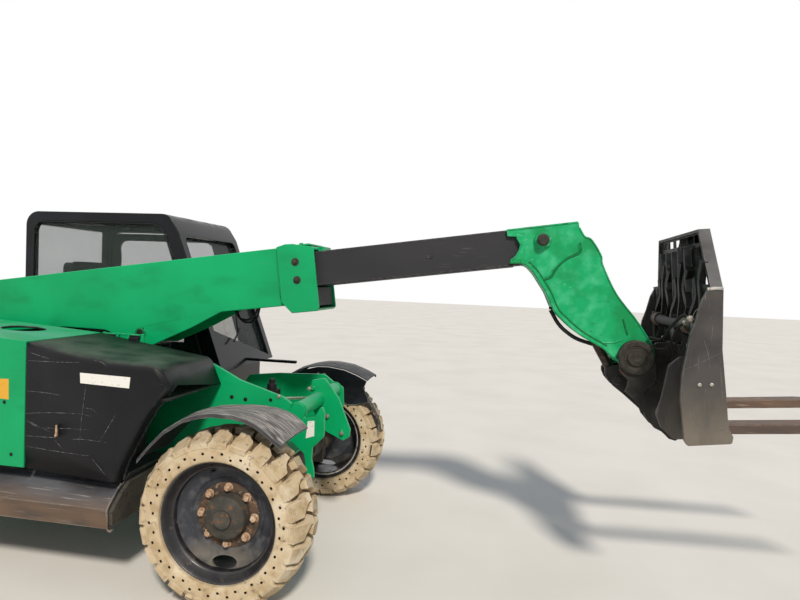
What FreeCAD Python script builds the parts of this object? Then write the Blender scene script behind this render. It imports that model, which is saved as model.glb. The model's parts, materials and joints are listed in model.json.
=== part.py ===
import FreeCAD, Part
import math
import os
import re

# Compact side-engine telehandler, boom half out, forks on a tilting carriage.
# Millimetres. X forward, Y to the machine's left, Z up from the ground.
# Outlines are measured from the front axle's centre line; origin_shift then moves
# every node so that the origin lies under the middle of the whole machine.

SIZES = {
    # Wheels and running gear
    "wheel_base": 2400,
    "track_half": 770,
    "tyre_radius": 419,
    "tyre_width": 300,
    "tyre_shoulder": 24,
    "rim_seat_radius": 255,
    "rim_flange_radius": 282,
    "rim_width": 250,
    "rim_wall": 9,
    "wheel_disc_inset": 105,
    "wheel_disc_thick": 14,
    "hub_radius": 98,
    "spindle_radius": 42,
    "spindle_reach": 46,
    "hub_reach": 62,
    "nut_circle": 275,
    "nut_radius": 17,
    "nut_height": 22,
    "king_pin_half": 560,
    "king_pin_radius": 24,
    "knuckle_radius": 84,
    "knuckle_half_height": 78,
    "axle_tube_radius": 62,
    "axle_case_radius": 122,
    "axle_fork_thick": 30,
    "axle_fork_half": 66,
    # Main frame
    "frame_half": 360,
    "plate_thick": 20,
    "frame_bottom": 500,
    "frame_rail_top": 620,
    "frame_front": 120,
    "belly_height": 560,
    "pod_wall_top": 1150,
    "tower_top": 1205,
    "tower_front": -2560,
    "tower_rear": -2920,
    "rear_end": -3000,
    "cross_tube_x": 172,
    "cross_tube_z": 836,
    "cross_tube_radius": 42,
    "side_reach": 920,
    # Engine pod and tank side
    "pod_side": 900,
    "pod_skin": 12,
    "pod_bottom": 580,
    "pod_rear": -1830,
    "cover_seam": -1011,
    "cover_gap": 6,
    "cover_hinge_y": -353,
    "cover_hinge_z": 1190,
    "cover_pin_radius": 5,
    "sill_bottom": 335,
    "sill_top": 560,
    "sill_front": -500,
    "filler_x": -1330,
    "filler_y": -560,
    "filler_radius": 105,
    # Cab
    "cab_right": 85,
    "cab_left": 900,
    "cab_rear": -1920,
    "cab_floor": 640,
    "cab_roof": 1920,
    "cab_post": 62,
    "cab_glass_thick": 6,
    "door_gap": 6,
    "door_thick": 34,
    # Boom
    "boom_y": -100,
    "boom_pivot_x": -2750,
    "boom_pivot_z": 1120,
    "boom_angle": 7.8,
    "boom_half": 145,
    "boom_wall": 10,
    "boom_top": 212,
    "boom_bottom": -111,
    "boom_pin_radius": 40,
    "running_gap": 0.1,
    "collar_rear": 2786,
    "collar_front": 3000,
    "collar_half": 165,
    "collar_top": 216,
    "collar_wall": 14,
    "collar_bottom": -155,
    "inner_half": 110,
    "inner_top": 172,
    "inner_bottom": -15,
    "inner_wall": 9,
    "inner_rear": 1560,
    "inner_front": 4062,
    "slide_gap": 0.5,
    "head_half": 130,
    "head_pin_x": 4218,
    "head_pin_z": 100,
    "tilt_pin_x": 4612,
    "tilt_pin_z": -530,
    "tilt_pin_radius": 36,
    # Lift and tilt cylinders
    "lift_base_x": -2360,
    "lift_base_z": 655,
    "lift_eye_x": 1902,
    "lift_eye_z": -190,
    "lift_barrel_radius": 52,
    "lift_rod_radius": 30,
    "lift_eye_radius": 30,
    "tilt_eye_u": -78,
    "tilt_eye_w": -128,
    "tilt_barrel_radius": 39,
    "tilt_rod_radius": 24,
    "tilt_eye_radius": 34,
    # Carriage and forks
    "carriage_angle": 5,
    "carriage_right": 560,
    "carriage_left": 410,
    "carriage_plate": 20,
    "carriage_face": 240,
    "guard_top": 600,
    "guard_top_right": 400,
    "guard_top_left": 325,
    "fork_half_spacing": 288,
    "fork_width": 100,
    "fork_thick": 45,
    "fork_bottom": -343,
    "fork_top": 205,
    "fork_tip": 1464,
}


class Named(dict):
    __getattr__ = dict.__getitem__


d = Named(SIZES)
doc = FreeCAD.newDocument("telehandler")
sheet = doc.addObject("Spreadsheet::Sheet", "Sizes")
for row, (name, number) in enumerate(SIZES.items(), start=1):
    sheet.set("A%d" % row, name)
    sheet.set("B%d" % row, str(number))
    sheet.setAlias("B%d" % row, name)
doc.recompute()

V = FreeCAD.Vector
BOOM_TURN = FreeCAD.Rotation(V(0, -1, 0), d.boom_angle)
CARRIAGE_TURN = FreeCAD.Rotation(V(0, -1, 0), d.carriage_angle)
BOOM_PIVOT = V(d.boom_pivot_x, d.boom_y, d.boom_pivot_z)
TILT_PIN = BOOM_PIVOT + BOOM_TURN.multVec(V(d.tilt_pin_x, 0, d.tilt_pin_z))
FORK_TIP = TILT_PIN + CARRIAGE_TURN.multVec(V(d.fork_tip, 0, d.fork_bottom))
ORIGIN_SHIFT = V(-(FORK_TIP.x + d.rear_end) / 2, 0, 0)
REST = FreeCAD.Placement(ORIGIN_SHIFT, FreeCAD.Rotation())
ON_BOOM = FreeCAD.Placement(ORIGIN_SHIFT + BOOM_PIVOT, BOOM_TURN)
ON_CARRIAGE = FreeCAD.Placement(ORIGIN_SHIFT + TILT_PIN, CARRIAGE_TURN)
SEAT = 0.3
NODES = []


def bound(text):
    """An expression on the sheet, from one written with the bare names."""
    return re.sub(r"([a-z][a-z_]+)", r"Sizes.\1", str(text))


def box(x, y, z):
    """A block between two expressions along each axis."""
    item = doc.addObject("Part::Box", "Block")
    spans = (("x", "Length", x), ("y", "Width", y), ("z", "Height", z))
    for axis, size, (low, high) in spans:
        item.setExpression("Placement.Base." + axis, bound(low))
        item.setExpression(size, bound("(%s) - (%s)" % (high, low)))
    return item


def sided(side, near, far):
    """A span on the machine's left, or the same one mirrored on its right."""
    return (near, far) if side > 0 else ("-(%s)" % far, "-(%s)" % near)


def rod(axis, centre, radius, low, high):
    """A cylinder along an axis, its centre given on the two other axes in X, Y, Z order."""
    item = doc.addObject("Part::Cylinder", "Rod")
    turns = {
        "x": FreeCAD.Rotation(V(0, 1, 0), 90),
        "y": FreeCAD.Rotation(V(-1, 0, 0), 90),
        "z": FreeCAD.Rotation(),
    }
    item.Placement = FreeCAD.Placement(V(), turns[axis])
    others = [letter for letter in "xyz" if letter != axis]
    item.setExpression("Placement.Base." + axis, bound(low))
    for letter, place in zip(others, centre):
        item.setExpression("Placement.Base." + letter, bound(place))
    item.setExpression("Radius", bound(radius))
    item.setExpression("Height", bound("(%s) - (%s)" % (high, low)))
    return item


def corner_edges(points):
    """Lines and arcs of a closed outline whose points are (a, b) or (a, b, corner radius)."""
    count = len(points)
    stops = []
    for i in range(count):
        here = V(points[i][0], points[i][1], 0)
        radius = points[i][2] if len(points[i]) > 2 else 0
        if not radius:
            stops.append((here, None, here))
            continue
        back = (V(*points[i - 1][:2], 0) - here).normalize()
        ahead = (V(*points[(i + 1) % count][:2], 0) - here).normalize()
        half = back.getAngle(ahead) / 2
        reach = radius / math.tan(half)
        middle = (back + ahead).normalize() * (radius / math.sin(half) - radius)
        stops.append((here + back * reach, here + middle, here + ahead * reach))
    edges = []
    for i in range(count):
        start, middle, end = stops[i]
        if middle is not None:
            edges.append(Part.Arc(start, middle, end))
        following = stops[(i + 1) % count][0]
        edges.append(Part.LineSegment(end, following))
    return edges


def origin_plane(body, role):
    return next(part for part in body.Origin.OriginFeatures if part.Role == role)


def outline_sketch(body, role, points, offset):
    sketch = body.newObject("Sketcher::SketchObject", "Outline")
    sketch.AttachmentSupport = [(origin_plane(body, role), "")]
    sketch.MapMode = "FlatFace"
    for edge in corner_edges(points):
        sketch.addGeometry(edge)
    sketch.setExpression("AttachmentOffset.Base.z", bound(offset))
    return sketch


def prism(plane, points, low, high):
    """A padded outline. XZ outlines run along Y, YZ ones along X, XY ones along Z."""
    body = doc.addObject("PartDesign::Body", "Prism")
    offset = "-(%s)" % high if plane == "XZ" else low
    sketch = outline_sketch(body, plane + "_Plane", points, offset)
    pad = body.newObject("PartDesign::Pad", "Pad")
    pad.Profile = sketch
    pad.setExpression("Length", bound("(%s) - (%s)" % (high, low)))
    body.Tip = pad
    return body


def turned(points, centre):
    """A revolved outline of (radius, y) points about an axis along Y."""
    body = doc.addObject("PartDesign::Body", "Turned")
    flat = [(radius, side) + tuple(rest) for radius, side, *rest in points]
    sketch = outline_sketch(body, "XY_Plane", flat, 0)
    spin = body.newObject("PartDesign::Revolution", "Spin")
    spin.Profile = sketch
    spin.ReferenceAxis = (sketch, ["V_Axis"])
    spin.Angle = 360
    body.Tip = spin
    body.Placement = FreeCAD.Placement(centre, FreeCAD.Rotation())
    return body


def join(*parts):
    item = doc.addObject("Part::MultiFuse", "Joined")
    item.Shapes = list(parts)
    return item


def cut(base, *tools):
    item = doc.addObject("Part::Cut", "Trimmed")
    item.Base = base
    item.Tool = tools[0] if len(tools) == 1 else join(*tools)
    return item


def node(label, placement, *parts):
    """A sub-part: one solid, or several that don't touch, at its place in the machine."""
    item = doc.addObject("Part::Compound", "Node")
    item.Links = list(parts)
    item.Label = label
    item.Placement = placement
    NODES.append(item)
    return item


# Running gear

WHEELS = (("front_left", 0, 1), ("front_right", 0, -1), ("rear_left", -1, 1), ("rear_right", -1, -1))


def wheel_nodes():
    half = d.tyre_width / 2
    bead = d.rim_flange_radius
    flange = d.rim_width / 2
    seat = d.rim_seat_radius
    for name, rear, side in WHEELS:
        centre = V(rear * d.wheel_base, side * d.track_half, d.tyre_radius)
        tyre = turned((
            (seat + SEAT, -flange + d.rim_wall + SEAT),
            (bead + SEAT, -flange + d.rim_wall + SEAT),
            (bead + SEAT, -half),
            (d.tyre_radius, -half, d.tyre_shoulder),
            (d.tyre_radius, half, d.tyre_shoulder),
            (bead + SEAT, half),
            (bead + SEAT, flange - d.rim_wall - SEAT),
            (seat + SEAT, flange - d.rim_wall - SEAT),
        ), centre)
        node("tyre_" + name, REST, tyre)

        face = side * (half - d.wheel_disc_inset)
        back = face - side * d.wheel_disc_thick
        low, high = sorted((face, back))
        barrel = turned((
            (seat - d.rim_wall, -flange),
            (bead, -flange),
            (bead, -flange + d.rim_wall),
            (seat, -flange + d.rim_wall),
            (seat, flange - d.rim_wall),
            (bead, flange - d.rim_wall),
            (bead, flange),
            (seat - d.rim_wall, flange),
        ), centre)
        disc = turned(((0, low), (seat - d.rim_wall / 2, low), (seat - d.rim_wall / 2, high), (0, high)), centre)
        cap_low, cap_high = sorted((back + side, face + side * d.hub_reach))
        cap = turned(((0, cap_low), (d.hub_radius, cap_low), (d.hub_radius, cap_high), (0, cap_high)), centre)
        nuts = []
        for i in range(8):
            turn = math.radians(22.5 + 45 * i)
            nut = doc.addObject("Part::Prism", "Nut")
            nut.Polygon = 6
            nut.setExpression("Circumradius", bound("nut_radius"))
            nut.setExpression("Height", bound("nut_height"))
            reach = d.nut_circle / 2
            place = centre + V(reach * math.cos(turn), face - side, reach * math.sin(turn))
            nut.Placement = FreeCAD.Placement(place, FreeCAD.Rotation(V(-side, 0, 0), 90))
            nuts.append(nut)
        hand_hole = doc.addObject("Part::Cylinder", "HandHole")
        hand_hole.Radius = 34
        hand_hole.Height = 60
        hand_place = centre + V(0, low - 20, -(d.rim_seat_radius + d.hub_radius) / 2 - 26)
        hand_hole.Placement = FreeCAD.Placement(hand_place, FreeCAD.Rotation(V(-1, 0, 0), 90))
        low, high = sorted((back - side * 5, face + side * d.spindle_reach))
        bore = turned(((0, low), (d.spindle_radius + d.running_gap, low),
                       (d.spindle_radius + d.running_gap, high), (0, high)), centre)
        node("rim_" + name, REST, cut(join(barrel, disc, cap, *nuts), hand_hole, bore))


def knuckle_nodes():
    hub_face = "track_half + tyre_width / 2 - wheel_disc_inset - wheel_disc_thick - 2"
    spindle_end = "track_half + tyre_width / 2 - wheel_disc_inset + spindle_reach - 2"
    for name, rear, side in WHEELS:
        x_mid = "-wheel_base" if rear else "0"
        sign = "" if side > 0 else "-"
        hub = rod("y", (x_mid, "tyre_radius"), "knuckle_radius - 14", *sided(side, "king_pin_half - 24", hub_face))
        post = rod("z", (x_mid, sign + "king_pin_half"), "knuckle_radius * 0.62",
                   "tyre_radius - knuckle_half_height", "tyre_radius + knuckle_half_height")
        pin = rod("z", (x_mid, sign + "king_pin_half"), "king_pin_radius",
                  "tyre_radius - knuckle_half_height - axle_fork_thick - 8",
                  "tyre_radius + knuckle_half_height + axle_fork_thick + 8")
        spindle = rod("y", (x_mid, "tyre_radius"), "spindle_radius", *sided(side, "king_pin_half", spindle_end))
        node("knuckle_" + name, REST, join(hub, post, pin, spindle))


def axle_nodes():
    for name, x_mid, bulge in (("front_axle", "0", "-90"), ("rear_axle", "-wheel_base", "60")):
        beam = rod("y", (x_mid, "tyre_radius"), "axle_tube_radius", "-king_pin_half + 84", "king_pin_half - 84")
        case = rod("y", (x_mid, "tyre_radius"), "axle_case_radius", bulge + " - 95", bulge + " + 95")
        parts = [beam, case]
        reach = "(knuckle_half_height + axle_fork_thick + 4)"
        for side in (1, -1):
            parts.append(box((x_mid + " - 75", x_mid + " + 75"), sided(side, "frame_half - plate_thick - 65", "frame_half - plate_thick - 0.3"),
                             ("tyre_radius", "belly_height - 0.3")))
            parts.append(box((x_mid + " - axle_fork_half", x_mid + " + axle_fork_half"),
                             sided(side, "king_pin_half - 100", "king_pin_half - 68"),
                             ("tyre_radius - " + reach, "tyre_radius + " + reach)))
            for ends in (("knuckle_half_height + 4", reach), ("-" + reach, "-(knuckle_half_height + 4)")):
                parts.append(box((x_mid + " - axle_fork_half * 0.7", x_mid + " + axle_fork_half * 0.7"),
                                 sided(side, "king_pin_half - 72", "king_pin_half + 44"),
                                 ("tyre_radius + " + ends[0], "tyre_radius + " + ends[1])))
        holes = [rod("z", (x_mid, sign + "king_pin_half"), "king_pin_radius + running_gap",
                     "tyre_radius - 300", "tyre_radius + 300") for sign in ("", "-")]
        steer = rod("y", (x_mid + " - 104", "tyre_radius + 6"), "34", "-230", "230")
        lugs = box((x_mid + " - 120", x_mid + " - 40"), ("150", "180"), ("tyre_radius - 30", "tyre_radius + 30"))
        lugs_right = box((x_mid + " - 120", x_mid + " - 40"), ("-215", "-185"),
                         ("tyre_radius - 30", "tyre_radius + 30"))
        node(name, REST, cut(join(*parts, steer, lugs, lugs_right), *holes))


# Frame

def frame_outline(front):
    """Side plate seen from the right: low rail, rising to the boom tower, sloping nose in front."""
    return [(d.tower_rear, d.frame_bottom)] + front + [
        (d.pod_rear + 5, d.frame_rail_top), (d.pod_rear - 250, d.frame_rail_top),
        (d.tower_rear + 110, 820), (d.tower_rear, 820)]


def chassis_node():
    near_hook = [
        (-130, d.frame_bottom), (-130, 640, 30), (136, 678, 20), (217, 609, 10), (231, 524), (236, 485), (276, 485),
        (272, 530), (258, 585, 15), (262, 645, 15), (324, 710, 30), (322, 838), (306, 880, 10), (286, 842),
        (268, 812, 12), (214, 800), (180, 846), (132, 848), (139, 874, 8), (88, 907, 20), (-161, 981),
        (-268, 1034, 20), (-330, 1062), (-1000, 1062), (-1030, d.pod_wall_top), (d.pod_rear + 5, d.pod_wall_top)]
    saddle = rod("y", ("cross_tube_x", "cross_tube_z"), "cross_tube_radius + 0.3", "-frame_half - 5",
                 "-frame_half + plate_thick + 5")
    right = cut(prism("XZ", frame_outline(near_hook), "-frame_half", "-frame_half + plate_thick"), saddle)
    far_nose = [
        (60, d.frame_bottom), (110, 640, 20), (234, 721, 20), (226, 850, 20), (161, 880, 15), (98, 926, 20),
        (-212, 914), (-420, 890), (-600, d.frame_rail_top)]
    left = prism("XZ", frame_outline(far_nose), "frame_half - plate_thick", "frame_half")
    belly = box(("tower_rear + 20", "frame_front"), ("-frame_half + 5", "frame_half - 5"),
                ("belly_height", "belly_height + 14"))
    tower_shape = [
        (d.tower_rear, d.belly_height), (d.tower_front + 90, d.belly_height),
        (d.tower_front, 900), (d.boom_pivot_x + 85, d.tower_top, 30), (d.boom_pivot_x - 85, d.tower_top, 60),
        (d.tower_rear, 980)]
    towers = [
        prism("XZ", tower_shape, "boom_y - boom_half - 28", "boom_y - boom_half - 6"),
        prism("XZ", tower_shape, "boom_y + boom_half + 6", "boom_y + boom_half + 28")]
    rear_wall = box(("tower_rear", "tower_rear + 20"), ("-frame_half", "frame_half"), ("frame_bottom", "820"))
    mid_wall = box(("tower_front - 60", "tower_front - 46"), ("-frame_half + 5", "frame_half - 5"),
                   ("belly_height", "760"))
    lift_ears = [
        box(("lift_base_x - 50", "lift_base_x + 50"), ("boom_y + %d" % low, "boom_y + %d" % (low + 18)),
            ("belly_height", "lift_base_z + 45")) for low in (-75, 57)]
    pin = rod("y", ("boom_pivot_x", "boom_pivot_z"), "boom_pin_radius",
              "boom_y - boom_half - 28", "boom_y + boom_half + 28")
    lift_pin = rod("y", ("lift_base_x", "lift_base_z"), "18", "boom_y - 79", "boom_y + 79")
    cover_lugs = [box((str(x), str(x + 18)), ("-frame_half", "-frame_half + 18"), ("1040", "cover_hinge_z + 8"))
                  for x in (-1005, -920, -851, -765)]
    cover_pin = rod("x", ("cover_hinge_y", "cover_hinge_z"), "cover_pin_radius", "-1000", "-755")
    node("chassis_frame", REST, join(right, left, belly, *towers, rear_wall, mid_wall, *lift_ears, pin, lift_pin,
                                     *cover_lugs, cover_pin))


def front_cross_node():
    """Tube between the side plates, with the plate the lowered boom rests on."""
    tube = rod("y", ("cross_tube_x", "cross_tube_z"), "cross_tube_radius",
               "-frame_half + 2", "frame_half - plate_thick - 0.3")
    bracket = prism("XZ", [
        (130, 945, 12), (210, 961, 20), (298, 848, 60), (374, 668, 10), (370, 625, 20), (334, 601, 12),
        (227, 647, 10), (118, 800)], "-10", "12")
    bolts = [rod("y", (str(x), str(z)), "11", "-22", "24") for x, z in ((142, 898), (215, 745), (322, 656))]
    node("front_cross_member", REST, join(tube, bracket, *bolts))


def sill_nodes():
    bevel = 100
    plan = [
        (d.pod_rear + 10, -d.side_reach), (d.sill_front, -d.side_reach),
        (d.sill_front, -d.side_reach + 30), (d.sill_front - bevel, -d.side_reach + 170),
        (d.sill_front - bevel, -d.frame_half - SEAT), (d.pod_rear + 10, -d.frame_half - SEAT)]
    body = prism("XY", plan, "sill_bottom", "sill_top")
    edge = prism("YZ", [(-d.side_reach - 5, d.sill_bottom - 5), (-d.side_reach + 40, d.sill_bottom - 5),
                        (-d.side_reach - 5, d.sill_bottom + 60)], "pod_rear", "sill_front + 5")
    node("sill_right", REST, cut(body, edge))
    left_plan = [(x, -y) for x, y in plan]
    tank = prism("XY", left_plan, "sill_bottom", "cab_floor - 0.3")
    step = box(("-1500", "-1050"), ("side_reach - 150", "side_reach + 5"), ("sill_bottom + 60", "sill_top - 30"))
    node("tank_left", REST, cut(tank, step))


def engine_node():
    node("engine_block", REST, box(("cover_seam - 640", "cover_seam + 330"), ("-pod_side + 110", "-frame_half - 40"),
                                   ("sill_top", "pod_wall_top - 90")))


def pod_outlines():
    """Top edge of the pod from rear to nose, then the arch over the front wheel."""
    top_rear = [(d.pod_rear, 1245, 60), (-1306, 1213)]
    seam_top = 1194
    ridge = [(-800, 1161), (-570, 1129), (-330, 1114)]
    nose = [(-264, 1040, 20), (-264, 957), (-312, 905), (-360, 821), (-407, 692), (-440, 632, 20), (-530, d.pod_bottom)]
    return top_rear, seam_top, ridge, nose


def pod_nodes():
    top_rear, seam_top, ridge, nose = pod_outlines()
    skin = d.pod_skin
    rear = [(d.pod_rear, d.pod_bottom)] + top_rear + [(d.cover_seam, seam_top), (d.cover_seam, d.pod_bottom)]
    rear_inner = [(d.pod_rear + skin, d.pod_bottom - 5), (d.pod_rear + skin, 1245 - skin),
                  (top_rear[1][0], top_rear[1][1] - skin), (d.cover_seam + 5, seam_top - skin),
                  (d.cover_seam + 5, d.pod_bottom - 5)]
    outer = prism("XZ", rear, "-pod_side", "-frame_half - 0.3")
    inner = prism("XZ", rear_inner, "-pod_side + pod_skin", "-frame_half + 5")
    filler_hole = rod("z", ("filler_x", "filler_y"), "filler_radius", "1000", "1400")
    cup = cut(rod("z", ("filler_x", "filler_y"), "filler_radius + 6", "1140", "1196"),
              rod("z", ("filler_x", "filler_y"), "filler_radius", "1146", "1400"))
    node("rear_hood", REST, join(cut(outer, inner, filler_hole), cup))
    cap = join(rod("z", ("filler_x", "filler_y"), "52", "1146.3", "1176"),
               rod("z", ("filler_x", "filler_y"), "40", "1170", "1184"))
    node("filler_cap", REST, cap)

    front = d.cover_seam + d.cover_gap
    shell = [(front, d.pod_bottom), (front, seam_top)] + ridge[:-1] + [ridge[-1] + (30,)] + nose
    hollow = [(front - 5, d.pod_bottom - 5), (front - 5, seam_top - skin)] + [(x - 5, z - skin) for x, z in ridge] + [
        (-264 - skin, 1036), (-264 - skin, 975), (-560, 975), (-560, d.pod_bottom - 5)]
    arch = [(-572, d.pod_bottom - 5), (-572, 963), (-240, 963), (-240, d.pod_bottom - 5)]
    outer = prism("XZ", shell, "-pod_side", "-frame_half - cover_gap")
    inner = prism("XZ", hollow, "-pod_side + pod_skin", "-frame_half + 5")
    wheel_room = prism("XZ", arch, "-pod_side + pod_skin", "-frame_half + 5")
    hinged = cut(outer, inner, wheel_room)
    for low, high, foot in ((-985, -925, 1170), (-829, -770, 1146)):
        span = (str(low), str(high))
        web = box(span, ("cover_hinge_y - 24", "cover_hinge_y"), (str(foot), "cover_hinge_z"))
        barrel = rod("x", ("cover_hinge_y", "cover_hinge_z"), "cover_pin_radius + 3", *span)
        bore = rod("x", ("cover_hinge_y", "cover_hinge_z"), "cover_pin_radius + running_gap",
                   str(low - 2), str(high + 2))
        hinged = cut(join(hinged, web, barrel), bore)
    node("engine_cover", REST, hinged)


def rear_nodes():
    """Casings over the rear wheels either side of the boom, and the ballast between the wheels."""
    right = [(d.rear_end, 905), (d.rear_end, 1130, 60), (d.pod_rear - 300, 1225), (d.pod_rear - 8, 1240),
             (d.pod_rear - 8, 905)]
    left = [(d.rear_end, 905), (d.rear_end, 1130, 60), (d.cab_rear - 260, 1190), (d.cab_rear - 12, 1190),
            (d.cab_rear - 12, 905)]
    case_right = cut(prism("XZ", right, "-pod_side + 20", "boom_y - boom_half - 28.3"),
                     prism("YZ", [(-910, 1080), (-700, 1260), (-910, 1260)], "rear_end - 5", "pod_rear"))
    case_left = cut(prism("XZ", left, "boom_y + boom_half + 28.3", "pod_side - 20"),
                    prism("YZ", [(910, 1060), (740, 1200), (910, 1200)], "rear_end - 5", "cab_rear"))
    lamps = [box(("rear_end - 3", "rear_end + 1"), (low, high), ("960", "1050"))
             for low, high in (("-pod_side + 60", "-pod_side + 130"), ("pod_side - 130", "pod_side - 60"))]
    node("rear_casing_right", REST, case_right)
    node("rear_casing_left", REST, case_left)
    ballast = prism("XZ", [(d.rear_end, 470, 40), (d.rear_end, 895), (d.tower_rear - SEAT, 895),
                           (d.tower_rear - SEAT, 440), (d.rear_end + 40, 440)],
                    "-frame_half + 30", "frame_half - 30")
    tow_hole = rod("z", ("(rear_end + tower_rear) / 2", "0"), "17", "430", "560")
    tow_slot = box(("rear_end - 5", "rear_end + 76"), ("-60", "60"), ("470", "520"))
    node("ballast", REST, cut(ballast, tow_hole, tow_slot))


# Cab

HINGE_HEIGHTS = ("cab_floor + 200", "cab_roof - 280")
SCREEN_HEAD = (-812, d.cab_roof - 115)
SCREEN_FOOT = (-488, 935)


def cab_outline(inset):
    """Side view of the cab, drawn in by a distance all round."""
    lean = inset * 1.08
    return [
        (d.cab_rear + inset + 40, d.cab_floor + inset), (d.cab_rear + inset, d.cab_floor + inset + 90),
        (d.cab_rear + inset, d.cab_roof - inset, 90 - inset / 2),
        (-888 - lean, d.cab_roof - inset, 90 - inset / 2), (SCREEN_HEAD[0] - lean, SCREEN_HEAD[1]),
        (SCREEN_FOOT[0] - lean, SCREEN_FOOT[1]), (-590 - lean, 905), (-590 - lean, d.cab_floor + inset)]


def screen_outline(gap):
    """Windscreen opening from the front: its lower edge climbs towards the boom."""
    right = d.cab_right + d.cab_post + gap
    left = d.cab_left - d.cab_post - gap
    return [(right, 1190 + gap), (left, 965 + gap), (left, d.cab_roof - 135 - gap, 40), (right, d.cab_roof - 135 - gap, 40)]


def hinge_side(shell):
    """The cab's half of the door hinges: two lugs and a pin at each, with room for the door's barrel."""
    x_mid = "cab_rear + 70"
    y_mid = "cab_left + 5"
    room = [box((x_mid + " - 13", x_mid + " + 13"), ("cab_left - 6", "cab_left + 20"), (z + " - 31", z + " + 31"))
            for z in HINGE_HEIGHTS]
    lugs = []
    for z in HINGE_HEIGHTS:
        lugs.append(rod("z", (x_mid, y_mid), "9", z + " - 60", z + " - 31"))
        lugs.append(rod("z", (x_mid, y_mid), "9", z + " + 31", z + " + 60"))
        lugs.append(rod("z", (x_mid, y_mid), "5", z + " - 40", z + " + 40"))
    return join(cut(shell, *room), *lugs)


def cab_nodes():
    post = d.cab_post
    shell = prism("XZ", cab_outline(0), "cab_right", "cab_left")
    inside = cab_outline(post * 0.7)
    inside[0] = (inside[0][0], d.cab_floor - 5)
    inside[-1] = (inside[-1][0], d.cab_floor - 5)
    room = prism("XZ", inside, "cab_right + 45", "cab_left - 45")
    sides = [
        (d.cab_rear + post, 1000, 30), (d.cab_rear + post, d.cab_roof - post, 70),
        (-905 - post, d.cab_roof - post, 70), (-838 - post, d.cab_roof - 130), (-560 - post, 1010, 30)]
    right_window = prism("XZ", sides, "cab_right - 5", "cab_right + 50")
    door_hole = prism("XZ", door_outline(0), "cab_left - 50", "cab_left + 5")
    rear_window = box(("cab_rear - 5", "cab_rear + 60"), ("cab_right + cab_post", "cab_left - cab_post"),
                      ("1060", "cab_roof - cab_post - 20"))
    front_window = prism("YZ", screen_outline(0), "-1000", "-300")
    roof_window = box(("-1700", "-1040"), ("cab_right + 130", "cab_left - 130"), ("cab_roof - 60", "cab_roof + 5"))
    hollowed = cut(shell, room, right_window, door_hole, rear_window, front_window, roof_window)
    bracket = box(("-520", "-140"), ("445", "475"), ("966", "984"))
    node("cab_frame", REST, join(hinge_side(hollowed), bracket))
    rear, front = str(inside[0][0] + 0.3), str(inside[-1][0] - 0.3)
    node("cab_floor", REST, box((rear, front), ("cab_right + 45.3", "cab_left - 45.3"),
                                ("cab_floor", "cab_floor + cab_post * 0.7")))

    glass = d.cab_glass_thick
    slope = (SCREEN_HEAD[0] - SCREEN_FOOT[0]) / (SCREEN_HEAD[1] - SCREEN_FOOT[1])
    low_x = SCREEN_FOOT[0] + (900 - SCREEN_FOOT[1]) * slope - 30
    high_x = SCREEN_FOOT[0] + (1800 - SCREEN_FOOT[1]) * slope - 30
    slab = prism("XZ", [(low_x, 900), (high_x, 1800), (high_x - glass, 1800), (low_x - glass, 900)],
                 "cab_right", "cab_left")
    screen = doc.addObject("Part::MultiCommon", "Screen")
    screen.Shapes = [slab, prism("YZ", screen_outline(0.5), "-1000", "-300")]
    pane_points = [
        (d.cab_rear + post + 0.5, 1000.5, 30), (d.cab_rear + post + 0.5, d.cab_roof - post - 0.5, 70),
        (-905.5 - post, d.cab_roof - post - 0.5, 70), (-838.5 - post, d.cab_roof - 130),
        (-560.8 - post, 1010.5, 30)]
    side_pane = prism("XZ", pane_points, "cab_right + 16", "cab_right + 22")
    back_pane = box(("cab_rear + 18", "cab_rear + 24"), ("cab_right + cab_post + 0.5", "cab_left - cab_post - 0.5"),
                    ("1060.5", "cab_roof - cab_post - 20.5"))
    roof_pane = box(("-1699.5", "-1040.5"), ("cab_right + 130.5", "cab_left - 130.5"),
                    ("cab_roof - 24", "cab_roof - 14"))
    node("cab_glass", REST, screen, side_pane, back_pane, roof_pane)


def door_outline(inset):
    gap = inset
    return [
        (d.cab_rear + 70 + gap, 700 + gap, 30), (d.cab_rear + 70 + gap, d.cab_roof - 75 - gap, 80),
        (-1000 - gap, d.cab_roof - 75 - gap, 60), (-930 - gap * 1.1, d.cab_roof - 140),
        (-650 - gap * 1.1, 1000), (-650 - gap * 1.1, 700 + gap, 30)]


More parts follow.
